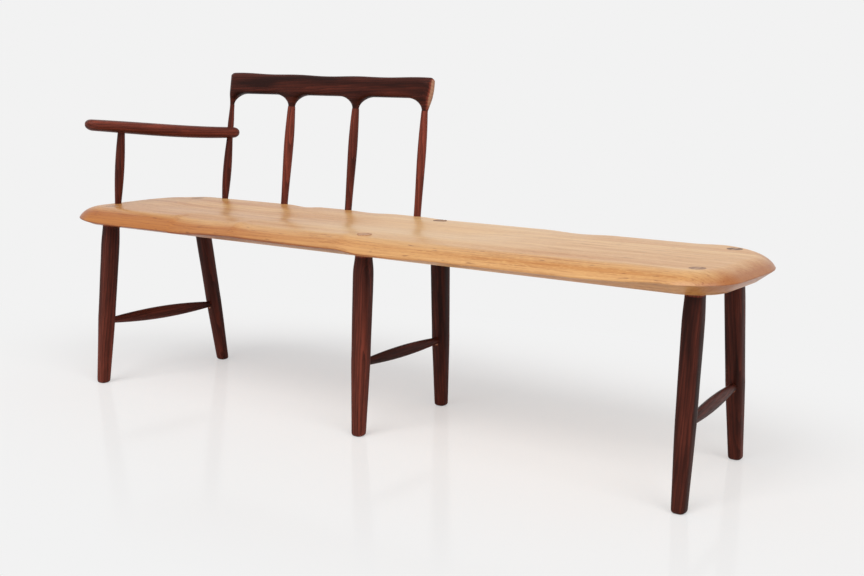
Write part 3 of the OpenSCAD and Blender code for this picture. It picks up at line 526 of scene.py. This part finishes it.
# The share of its girth that a leg loses on the last stretch below the seat.
SHOULDER, PLAIN_SHOULDER, SHOULDER_RUN = {"front_middle": 0.11}, 0.02, 35
LEG_AROUND, LEG_STEPS, FOOT_STEPS = 40, 72, 6
LEG_HEIGHTS = [FOOT_ROUND * (1 - cos(pi / 2 * i / FOOT_STEPS)) for i in range(FOOT_STEPS + 1)]
LEG_HEIGHTS += [mix(FOOT_ROUND, UNDERSIDE, i / LEG_STEPS) for i in range(1, LEG_STEPS + 1)]
TENON_RINGS = [(UNDERSIDE, TENON_R), (UNDERSIDE + 22, TENON_R), (SEAT_H - 0.5, TENON_R),
               (SEAT_H, 15.6), (SEAT_H, 12), (SEAT_H, 8), (SEAT_H, 4), (SEAT_H, 1)]
TENON_SUNK = 0.08  # a tenon stops this little below the seat's carved top
WEDGE_TIP, WEDGE_DEPTH, WEDGE_W, WEDGE_SUNK, WEDGE_SLACK = 0.8, 28, 80, 0.03, 0.06
SLOT_PAST = 2  # a wedge's slot is cut this far past the tenon's top
# Each stretcher's height above the floor, its section's height at the middle, and its tone.
STRETCHERS = {"left": (158, 33, 0.3), "middle": (163, 28, 0.2), "right": (162, 31, 0.2)}
STRETCHER_END_R, STRETCHER_IN, MORTISE_OUT = 8.25, 13, 12


def soft_square(step, around, power):
    """A point of a closed section that reaches 1 to each side: a power of 2 is round, more is a
    square with soft corners, and less has ridges."""
    a = tau * step / around
    c, s = cos(a), sin(a)
    r = (abs(c) ** power + abs(s) ** power) ** (-1 / power)
    return r * c, r * s


def leg_side(z):
    """Side of a leg at a height: round at the foot, fuller to the knee, drawn in at the top."""
    if z < FOOT_ROUND:
        return FOOT_SIDE - 2 * (FOOT_ROUND - sqrt(FOOT_ROUND ** 2 - (FOOT_ROUND - z) ** 2))
    if z < WIDEST / 2:
        return (mix(FOOT_SIDE, KNEE_SIDE, ease(z / WIDEST + SWELL_LEAD))
                + (KNEE_SIDE - FOOT_SIDE) * KNEE_FULLNESS * sin(pi * z / WIDEST))
    if z < WIDEST:
        return mix(KNEE_SIDE, TOP_SIDE, ease(2 * z / WIDEST - 1))
    return TOP_SIDE - TOP_DRAWN_IN * ease((z - WIDEST) / (UNDERSIDE - WIDEST))


def leg_maker(name, seed):
    """Gives the function that places one leg's points, with its own shaving marks."""
    shoulder = SHOULDER.get(name, PLAIN_SHOULDER)

    def place(step, ring):
        if ring < len(LEG_HEIGHTS):
            z = LEG_HEIGHTS[ring]
            cx, cy = leg_centre(name, z)
            dx, dy = soft_square(step, LEG_AROUND, LEG_SQUARE)
            half = leg_side(z) / 2 * mix(*LEG_GIRTH[name], z / UNDERSIDE)
            half *= 1 - shoulder * ease((z - UNDERSIDE + SHOULDER_RUN) / SHOULDER_RUN)
            cuts = noise.noise(Vector((dx * 1.3, dy * 1.3, z / 70 + seed * 9)))
            marks = 1 + LEG_MARKS * cuts
            return spot(cx + dx * half * marks, cy + dy * half * marks, z)
        z, r = TENON_RINGS[ring - len(LEG_HEIGHTS)]
        cx, cy = leg_centre(name, z)
        a = tau * step / LEG_AROUND
        x, y = cx + r * cos(a), cy + r * sin(a)
        return spot(x, y, seat_top(x, y) - TENON_SUNK if z == SEAT_H else z)
    return place


def wedge_blade(name, slack):
    """A thin blade across the grain of the seat, tapered 1 in 10. With slack it cuts the slot."""
    x, y = LEGS[name][0]
    past = SLOT_PAST if slack else -WEDGE_SUNK
    depth = WEDGE_DEPTH + WEDGE_SUNK + slack + past
    tip = WEDGE_TIP + 2 * slack
    top = tip + depth / 10
    level = seat_top(x, y) + past
    bpy.ops.object.select_all(action="DESELECT")
    bpy.ops.mesh.primitive_cube_add(size=1, location=spot(x, y, level - depth / 2))
    blade = bpy.context.object
    for point in blade.data.vertices:
        width = top if point.co.z > 0 else tip
        point.co = Vector((point.co.x * width, point.co.y * WEDGE_W, point.co.z * depth)) / 1000
    bpy.ops.object.transform_apply()
    return blade


def stick_between(start, end):
    """Axes of a straight stick, with z along it."""
    return Matrix.Translation(start) @ (end - start).to_track_quat("Z", "Y").to_matrix().to_4x4()


for number, leg in enumerate(LEGS):
    row, pair = leg.split("_")
    other = ("rear_" if row == "front" else "front_") + pair
    h = STRETCHERS[pair][0]
    here, there = spot(*leg_centre(leg, h), h), spot(*leg_centre(other, h), h)
    run, face = (there - here).normalized(), leg_side(h) / 2
    piece = shaved_bar(f"{leg}_leg", LEG_AROUND, len(LEG_HEIGHTS) + len(TENON_RINGS),
                       leg_maker(leg, number))
    mortise = rod(here + run * (face - STRETCHER_IN - 1) / 1000,
                  here + run * (face + MORTISE_OUT) / 1000, (STRETCHER_END_R + FIT) / 1000)
    cut(piece, [mortise, wedge_blade(leg, WEDGE_SLACK)])
    stick = stick_between(spot(*LEGS[leg][1], 0), spot(*LEGS[leg][0], SEAT_H))
    finish_piece(piece, f"leg_{leg}", walnut, stick,
                 shift=(0.05 + 0.013 * number, 0.04 + 0.021 * number, number * 1.7),
                 tone=LEG_TONE[leg][:2], ends=LEG_TONE[leg][2])
    wedge = wedge_blade(leg, 0)
    wedge.name = wedge.data.name = f"{leg}_wedge"
    low = spot(*leg_centre(leg, UNDERSIDE), UNDERSIDE)
    high = spot(*leg_centre(leg, SEAT_H + 10), SEAT_H + 10)
    cut(wedge, [rod(low, high, TENON_R / 1000)], "INTERSECT")
    finish_piece(wedge, f"wedge_{leg}", maple, stick)

# Stretchers: three shaved walnut cigars, taller than they are wide, with round ends that are glued
# into the legs. A soft ridge runs along both faces where the drawknife's cuts meet.
STRETCHER_SLIM, STRETCHER_RIDGE, STRETCHER_PLAIN = 0.8, 1.6, 5
STRETCHER_AROUND, STRETCHER_STEPS = 28, 56


def stretcher_maker(axes, face, length, swell, heights):
    """Gives the function that places one stretcher's points: round beside the legs, then fuller."""
    def place(step, ring):
        z = heights[ring]
        t = clamp01((z - face - STRETCHER_PLAIN) / (length - 2 * face - 2 * STRETCHER_PLAIN))
        grow = sin(pi * t) ** 0.85 if 0 < t < 1 else 0
        dx, dy = soft_square(step, STRETCHER_AROUND, STRETCHER_RIDGE)
        if grow == 0:
            dx, dy = cos(tau * step / STRETCHER_AROUND), sin(tau * step / STRETCHER_AROUND)
        tall = mix(STRETCHER_END_R, swell / 2, grow)
        wide = mix(STRETCHER_END_R, swell / 2 * STRETCHER_SLIM, grow)
        return axes @ (Vector((dx * tall, dy * wide, z)) / 1000)
    return place


for number, (pair, (h, swell, shade)) in enumerate(STRETCHERS.items()):
    a, b = spot(*leg_centre("front_" + pair, h), h), spot(*leg_centre("rear_" + pair, h), h)
    length, face = (b - a).length * 1000, leg_side(h) / 2
    turn = atan2(b.y - a.y, b.x - a.x)
    axes = Matrix.Translation(a) @ Matrix.Rotation(turn, 4, "Z") @ Matrix.Rotation(pi / 2, 4, "Y")
    heights = [face - STRETCHER_IN, face - STRETCHER_IN + 1, face + 1]
    heights += [mix(face + STRETCHER_PLAIN, length - face - STRETCHER_PLAIN, k / STRETCHER_STEPS)
                for k in range(STRETCHER_STEPS + 1)]
    heights += [length - z for z in (face + 1, face - STRETCHER_IN + 1, face - STRETCHER_IN)]
    piece = shaved_bar(f"{pair}_stretcher", STRETCHER_AROUND, len(heights),
                       stretcher_maker(axes, face, length, swell, heights))
    finish_piece(piece, f"stretcher_{pair}", walnut, axes,
                 shift=(0.06, 0.03 * number, 3 + number), tone=(shade, shade))

# Spindles: four walnut rods shaved round and swollen near the middle, leaning in one plane. The
# first is slimmer where it passes through the arm. Each has a tenon at both ends.
SPINDLE_SWELL, FIRST_SWELL, TENON_STEP, RAIL_TENON = 2.7, 3.3, 2.5, 21
FOOT_CHAMFER, TIP_CHAMFER, SPINDLE_MARKS = 0.6, 0.5, 0.02
SPINDLE_AROUND, SPINDLE_STEPS = 36, 64
SPINDLE_TONE = [(0.4, 0.45), (0.5, 0.85), (0.4, 0.55), (0.6, 0.9)]
SPINDLE_TOP = SPINDLE_L - 0.2
SPINDLE_Z = [1 - BORE_DEPTH, 2 - BORE_DEPTH]
SPINDLE_Z += [SPINDLE_TOP * k / SPINDLE_STEPS for k in range(SPINDLE_STEPS + 1)]
SPINDLE_Z += [SPINDLE_TOP, SPINDLE_L + RAIL_TENON - 1, SPINDLE_L + RAIL_TENON]
# The first spindle keeps its slim girth from a little below the arm to a little above it.
ARM_ON_SPINDLE = ARM_H / cos(LEAN)
BELOW_ARM, ABOVE_ARM = ARM_ON_SPINDLE - ARM_T / 2 - 4, ARM_ON_SPINDLE + ARM_T / 2 + 6


def spindle_r(i, u):
    return mix(BASE_R[i], NECK_R[i], u) + GIRTH[i] * SPINDLE_SWELL * sin(pi * clamp01(u) ** 1.5)


def first_spindle_r(z):
    if z < BELOW_ARM:
        return BASE_R[0] + FIRST_SWELL * sin(pi * clamp01(z / BELOW_ARM) ** 0.9)
    return mix(BASE_R[0], NECK_R[0], ease((z - ABOVE_ARM) / (SPINDLE_TOP - ABOVE_ARM)))


def spindle_maker(i, axes):
    """Gives the function that places spindle i's points: foot tenon, shaved rod, rail tenon."""
    def place(step, ring):
        z = SPINDLE_Z[ring]
        a = tau * step / SPINDLE_AROUND
        if ring < 2:
            r = BASE_R[i] - (FOOT_CHAMFER if ring == 0 else 0)
        elif ring > SPINDLE_STEPS + 2:
            r = NECK_R[i] - TENON_STEP - (TIP_CHAMFER if ring == len(SPINDLE_Z) - 1 else 0)
        else:
            r = first_spindle_r(z) if i == 0 else spindle_r(i, z / SPINDLE_TOP)
        if 2 < ring < SPINDLE_STEPS + 2:
            cuts = noise.noise(Vector((cos(a) * 0.9, sin(a) * 0.9, z / 50 + 7 * i)))
            r *= 1 + SPINDLE_MARKS * cuts
        return axes @ Vector((r * cos(a), r * sin(a), z))
    return place


for i in range(4):
    axes = on_spindle(i)
    piece = shaved_bar(f"back_spindle_{i + 1}", SPINDLE_AROUND, len(SPINDLE_Z),
                       spindle_maker(i, axes))
    finish_piece(piece, f"spindle_{i + 1}", walnut, axes @ Matrix.Scale(1000, 4),
                 shift=(0.05 + 0.02 * i, 0.05, 5 + i), tone=SPINDLE_TONE[i])

# Crest rail: one walnut board whose lower edge is sawn into three arches that meet in four bosses.
# Each boss is carved round where its spindle enters and grows into the flat rail above. Places on
# it are x along the rail and w up the leaning plane.
RAIL_H, RAIL_T, RAIL_TAPER, ARCH_RISE, ARCH_RUN = 49, 32, 5, 30, 47
RAIL_EDGE, RAIL_FULLNESS, LEFT_OVERHANG, RIGHT_OVERHANG = 26, 3, 8, 21
RAIL_FROM, RAIL_TO = BOSS_X[0] - LEFT_OVERHANG, BOSS_X[3] + RIGHT_OVERHANG
CREST_TOP, ARCH_TOP, END_CURVE, BOSS_MORTISE = 329, 280, 60, RAIL_TENON + 1
TOP_CORNER, LEFT_CLIMB, TOP_WAVE, TOP_WAVE_TURN = 12, 5, 0.9, 1260
ROUND_END_FROM, ROUND_END_RUN = 14, 24
# The shares of its thickness that the rail keeps at its very edge, at a boss and above the arches.
EDGE_LEAST, FLAT_LEAST = 0.06, 0.3
RAIL_LEVELS, LEFT_END_STEPS, RIGHT_END_STEPS = 30, 6, 8
BOSS_STEPS, ARCH_STEPS, SPAN_STEPS = 16, 14, 12


def nearest_boss(x):
    return max(0, min(3, round((x - BOSS_X[0]) / BOSS_GAP)))


def to_arch(j, x, w):
    """Distance from a point to arch j, whose shoulders are quarter ellipses."""
    a, b = BOSS_X[j] + NECK_R[j] + ARCH_RUN, BOSS_X[j + 1] - NECK_R[j + 1] - ARCH_RUN
    return hypot((x - max(a, min(b, x))) * ARCH_RISE / ARCH_RUN, w - SPINDLE_L) - ARCH_RISE


def end_reach(w, r, overhang):
    """How far the rail's end stands past the outer boss's middle at a height."""
    return r + (overhang - r) * sin(pi / 2 * clamp01((w - SPINDLE_L) / END_CURVE))


def rail_top(x):
    """Height of the rail's top line: round at both ends, higher at the left, and a little wavy."""
    side = min(x - RAIL_FROM, RAIL_TO - x)
    dip = TOP_CORNER - sqrt(TOP_CORNER ** 2 - max(0, TOP_CORNER - side) ** 2)
    share = (x - RAIL_FROM) / (RAIL_TO - RAIL_FROM)
    wave = TOP_WAVE * sin(radians(TOP_WAVE_TURN * share))
    return CREST_TOP + LEFT_CLIMB * (1 - ease(share / 0.6)) - dip + wave


def rail_bottom(x):
    """Height of the rail's lower line: flat under a boss, then up an arch or up the rounded end."""
    i = nearest_boss(x)
    u = abs(x - BOSS_X[i]) - NECK_R[i]
    if u <= 0:
        return SPINDLE_L
    if (i == 0 and x < BOSS_X[0]) or (i == 3 and x > BOSS_X[3]):
        overhang = LEFT_OVERHANG if i == 0 else RIGHT_OVERHANG
        return SPINDLE_L + END_CURVE * asin(clamp01(u / (overhang - NECK_R[i]))) * 2 / pi
    return SPINDLE_L + ARCH_RISE * sqrt(1 - (1 - clamp01(u / ARCH_RUN)) ** 2)


def rail_half(x, w, k):
    """Half the rail's thickness at a place, a share k of the way from lower to upper edge."""
    i = nearest_boss(x)
    grown = ease((w - SPINDLE_L) / ARCH_RISE)
    t = mix(mix(NECK_R[i], RAIL_T / 2, grown), (RAIL_T - RAIL_TAPER) / 2,
            clamp01((w - ARCH_TOP) / RAIL_H))
    at_end = ease(max(BOSS_X[0] + ROUND_END_FROM - x, x - BOSS_X[3] + ROUND_END_FROM)
                  / ROUND_END_RUN)
    edge, power = mix(NECK_R[i], RAIL_EDGE, grown), mix(2, RAIL_FULLNESS, grown * (1 - at_end))
    d = min(to_arch(0, x, w), to_arch(1, x, w), to_arch(2, x, w), rail_top(x) - w,
            BOSS_X[3] + end_reach(w, NECK_R[3], RIGHT_OVERHANG) - x,
            x - BOSS_X[0] + end_reach(w, NECK_R[0], LEFT_OVERHANG))
    least = mix(EDGE_LEAST, FLAT_LEAST, grown * (1 - 0.7 * at_end)) * (1 - 0.3 * (2 * k - 1) ** 2)
    return t * max(1 - (1 - clamp01(d / edge)) ** power, least ** power) ** (1 / power)


RAIL_X = [mix(RAIL_FROM, BOSS_X[0] - NECK_R[0], 1 - cos(pi / 2 * k / LEFT_END_STEPS))
          for k in range(LEFT_END_STEPS)]
for i in range(4):
    RAIL_X += [BOSS_X[i] - NECK_R[i] * cos(pi * k / BOSS_STEPS) for k in range(BOSS_STEPS + 1)]
    if i < 3:
        a, b = BOSS_X[i] + NECK_R[i], BOSS_X[i + 1] - NECK_R[i + 1]
        shoulder = [ARCH_RUN * (1 - cos(pi / 2 * k / ARCH_STEPS)) for k in range(1, ARCH_STEPS + 1)]
        RAIL_X += [a + run for run in shoulder]
        RAIL_X += [mix(a + ARCH_RUN, b - ARCH_RUN, k / SPAN_STEPS) for k in range(1, SPAN_STEPS)]
        RAIL_X += [b - run for run in reversed(shoulder)]
RAIL_X += [mix(BOSS_X[3] + NECK_R[3], RAIL_TO, sin(pi / 2 * k / RIGHT_END_STEPS))
           for k in range(1, RIGHT_END_STEPS + 1)]


def rail_place(step, ring):
    x = RAIL_X[ring]
    front = step < RAIL_LEVELS
    level = step if front else 2 * RAIL_LEVELS - 1 - step
    k = 0.5 - 0.5 * cos(pi * level / (RAIL_LEVELS - 1))
    w = mix(rail_bottom(x), rail_top(x), k)
    return ON_BACK @ Vector((x, rail_half(x, w, k) * (-1 if front else 1), w))


rail = shaved_bar("back_crest_rail", 2 * RAIL_LEVELS, len(RAIL_X), rail_place)
cut(rail, [rod(on_spindle(i) @ Vector((0, 0, SPINDLE_L - 1)),
               on_spindle(i) @ Vector((0, 0, SPINDLE_L + BOSS_MORTISE)),
               (NECK_R[i] - TENON_STEP + FIT) / 1000) for i in range(4)])
finish_piece(rail, "crest_rail", walnut, ON_BACK @ Matrix.Scale(1000, 4) @ ALONG_X,
             shift=(0.35, 0.055, 9.4), tone=(0.26, 0.26), crease=50)

# The rail's end grain shows on the faces beyond the outer bosses, and not under them. Its paler
# colour there is partly a painted highlight.
END_LIFT = 1.8
tones = rail.data.attributes["tone"]
for point in rail.data.vertices:
    x = (ON_BACK.inverted() @ point.co).x
    beyond = ease((x - BOSS_X[3] - 4) / 10) + ease((BOSS_X[0] - 1 - x) / 5)
    tones.data[point.index].value += END_LIFT * beyond * end_grain(abs(point.normal.x))

# Arm: a flat walnut paddle, sawn and shaved, wide at the hand and slim at the back. It climbs to the
# front, the first spindle passes through it, and the arm post is glued into its underside.
ARM_AROUND, ARM_STEPS, REAR_TIP_STEPS, FRONT_TIP_STEPS = 44, 44, 12, 16
ARM_TIP_RUN, ARM_TIP_THIN, TIP_TURN = 19, 0.96, radians(88)
ARM_TOP_FULLNESS, ARM_UNDER_FULLNESS, ARM_WIDE_AT = 2.8, 2.2, 0.85
# The arm's rings, as runs from the first spindle, closer together at the round tips.
ARM_S = [ARM_REAR_R * (1 - sin(TIP_TURN * (1 - k / REAR_TIP_STEPS))) - ARM_TAIL
         for k in range(REAR_TIP_STEPS)]
ARM_S += [mix(ARM_REAR_R - ARM_TAIL, ARM_REACH - ARM_FRONT_R, k / ARM_STEPS)
          for k in range(ARM_STEPS + 1)]
ARM_S += [ARM_REACH - ARM_FRONT_R * (1 - sin(TIP_TURN * k / FRONT_TIP_STEPS))
          for k in range(1, FRONT_TIP_STEPS + 1)]
ARM_AXES = (Matrix.Translation(spot(SPINDLE_X[0], ARM_Y, SEAT_H + ARM_H))
            @ Matrix.Rotation(-pi / 2 - ARM_SPLAY, 4, "Z") @ Matrix.Scale(0.001, 4))


def arm_half_w(s):
    """Half the arm's width: from slim at the back to wide at the hand, round at both tips."""
    wide = mix(ARM_REAR_R, ARM_FRONT_R, ease((s + 10) / (ARM_REACH * ARM_WIDE_AT)))
    front = clamp01((s - ARM_REACH + ARM_FRONT_R) / ARM_FRONT_R)
    rear = clamp01((ARM_REAR_R - ARM_TAIL - s) / ARM_REAR_R)
    return wide * sqrt(1 - front * front) * sqrt(1 - rear * rear)


def arm_half_t(s):
    """Half the arm's thickness: fullest in the middle, rounded over at both tips."""
    tip = clamp01(1 - min(ARM_REACH - s, s + ARM_TAIL) / ARM_TIP_RUN)
    belly = sin(pi * clamp01((s + ARM_TAIL) / (ARM_REACH + ARM_TAIL)))
    return (ARM_T + ARM_BELLY * belly) / 2 * (1 - (ARM_TIP_THIN * tip) ** 2.2) ** 0.6


def arm_place(step, ring):
    s = ARM_S[ring]
    a = tau * (step + 0.5) / ARM_AROUND
    c, z = cos(a), sin(a)
    power = ARM_TOP_FULLNESS if z > 0 else ARM_UNDER_FULLNESS
    r = (abs(c) ** power + abs(z) ** power) ** (-1 / power)
    return ARM_AXES @ Vector((s, arm_half_w(s) * r * c, arm_climb(s) + arm_half_t(s) * r * z))


arm = shaved_bar("left_arm", ARM_AROUND, len(ARM_S), arm_place)
post_length = (POST_TOP - POST_FOOT).length * 1000
POST_SHORT = 3  # the post's top ends this far short of the arm's middle line
POST_DRILL = 32
cut(arm, [rod(ON_BACK @ Vector((SPINDLE_X[0], 0, ARM_ON_SPINDLE - ARM_T)),
              ON_BACK @ Vector((SPINDLE_X[0], 0, ARM_ON_SPINDLE + ARM_T)), (FOOT_R + FIT) / 1000),
          rod(POST_FOOT + post_run * (post_length - POST_SHORT + 1 - POST_DRILL) / 1000,
              POST_FOOT + post_run * (post_length - POST_SHORT + 1) / 1000,
              (POST_TOP_R + FIT) / 1000)])
finish_piece(arm, "armrest", walnut, ARM_AXES @ Matrix.Scale(1000, 4) @ ALONG_X,
             shift=(0.28, 0.03, 12), tone=(0.6, 0.56))

# A paler band along the arm's upper edges is a painted highlight, and painted shade darkens its
# underside.
HIGHLIGHT_LIFT, UNDER_SHADE = 0.3, 0.15
tones = arm.data.attributes["tone"]
for point in arm.data.vertices:
    along, across, up = ARM_AXES.inverted() @ point.co
    level = (up - arm_climb(along)) / arm_half_t(along)
    painted_highlight = ease(1 - abs(level - 0.6) / 0.35) * ease(2 * abs(across) / arm_half_w(along) - 1)
    tones.data[point.index].value += HIGHLIGHT_LIFT * painted_highlight - UNDER_SHADE * ease(-level)

# Arm post: one walnut rod, shaved round and swollen at its middle, glued into the seat and the arm.
POST_AROUND, POST_STEPS, POST_SWELL = 36, 40, 3.25
SWELL_FROM, SWELL_TO = 2, post_length - 16
POST_Z = [1 - BORE_DEPTH, 2 - BORE_DEPTH, SWELL_FROM]
POST_Z += [mix(SWELL_FROM, SWELL_TO, k / POST_STEPS) for k in range(1, POST_STEPS + 1)]
POST_Z += [post_length - POST_SHORT - 1, post_length - POST_SHORT]
post_axes = stick_between(POST_FOOT, POST_TOP)


def post_place(step, ring):
    z = POST_Z[ring]
    u = clamp01((z - SWELL_FROM) / (SWELL_TO - SWELL_FROM))
    chamfer = TIP_CHAMFER if ring in (0, len(POST_Z) - 1) else 0
    r = mix(POST_END_R, POST_TOP_R, u) + POST_SWELL * sin(pi * u) - chamfer
    a = tau * step / POST_AROUND
    return post_axes @ (Vector((r * cos(a), r * sin(a), z)) / 1000)


post = shaved_bar("front_arm_post", POST_AROUND, len(POST_Z), post_place)
finish_piece(post, "arm_post", walnut, post_axes, shift=(0.09, 0.04, 14),
             tone=(0.4, 0.4))

# Studio: a pale floor with a faint sheen that runs out into the white of the background, two large
# soft lamps on both sides of the camera, and an even light all round.
floor_paint, paint = new_material("studio_floor_paint")
where = add_node(paint, "TexCoord", {}).outputs["Object"]
away = add_node(paint, "VectorMath", {0: where, 1: (0.55, 1, 1)}, operation="MULTIPLY").outputs[0]
away = add_node(paint, "VectorMath", {0: away}, operation="LENGTH").outputs["Value"]
away = add_node(paint, "MapRange", {"Value": away, "From Min": 0.45, "From Max": 1.05,
                                    "To Min": 0.44},
                interpolation_type="SMOOTHSTEP").outputs[0]
matt = add_node(paint, "BsdfDiffuse", {"Color": srgb("#f8f7f5")})
shine = add_node(paint, "BsdfGlossy", {"Color": srgb("#ffffff"), "Roughness": 0.12})
coat = add_node(paint, "MixShader", {0: 0.09, 1: matt.outputs[0], 2: shine.outputs[0]})
seen = add_node(paint, "LightPath", {}).outputs["Is Camera Ray"]
glow = add_node(paint, "Emission", {"Color": srgb("#f2f2f2"), "Strength": 1})
far = add_node(paint, "Math", {0: seen, 1: away}, operation="MULTIPLY").outputs[0]
both = add_node(paint, "MixShader", {0: far, 1: coat.outputs[0], 2: glow.outputs[0]})
add_node(paint, "OutputMaterial", {"Surface": both.outputs[0]})
bpy.ops.object.select_all(action="DESELECT")
bpy.ops.mesh.primitive_grid_add(x_subdivisions=8, y_subdivisions=8, size=24,
                                location=(0, 0, -0.0004))
floor = bpy.context.object
floor.name = "studio_floor"
floor.data.materials.append(floor_paint)

world = bpy.data.worlds.new("studio_air")
bpy.context.scene.world = world
world.use_nodes = True
air = world.node_tree
air.nodes.clear()
path = add_node(air, "LightPath", {})
plain = add_node(air, "Background", {"Color": srgb("#fbfbff"), "Strength": 0.38})
white = add_node(air, "Background", {"Color": srgb("#f2f2f2"), "Strength": 1})
bare = add_node(air, "Math", {0: path.outputs["Is Camera Ray"], 1: path.outputs["Is Glossy Ray"]},
                operation="MAXIMUM").outputs[0]
shown = add_node(air, "MixShader", {0: bare, 1: plain.outputs[0], 2: white.outputs[0]})
add_node(air, "OutputWorld", {"Surface": shown.outputs[0]})

SOFTBOX_SPREAD = radians(42)
for name, towards, power in (("left_softbox", (0, -0.67, 0.74), 1.5),
                             ("right_softbox", (0.7, -0.33, 0.64), 1.12)):
    lamp = bpy.data.lights.new(name, "SUN")
    lamp.angle = SOFTBOX_SPREAD
    lamp.energy = power
    holder = bpy.data.objects.new(name, lamp)
    bpy.context.scene.collection.objects.link(holder)
    holder.location = Vector(towards) * 4
    holder.rotation_euler = (-Vector(towards)).to_track_quat("-Z", "Y").to_euler()

# Camera: the photo's, recovered from the six tenons and the six feet. Its place is in metres, it
# looks down and is turned by these angles in radians, and its lens is for a sensor of 36 mm.
CAMERA_AT, CAMERA_DOWN, CAMERA_TURN = (1.8003, -2.29479, 0.8377), 0.1817, 0.6334
LENS, SENSOR = 53.73, 36
view = bpy.data.cameras.new("photo_view")
view.lens, view.sensor_width = LENS, SENSOR
eye = bpy.data.objects.new("photo_view", view)
bpy.context.scene.collection.objects.link(eye)
eye.location = CAMERA_AT
eye.rotation_euler = (pi / 2 - CAMERA_DOWN, 0, CAMERA_TURN)
bpy.context.scene.camera = eye
bpy.context.scene.view_settings.view_transform = "Standard"
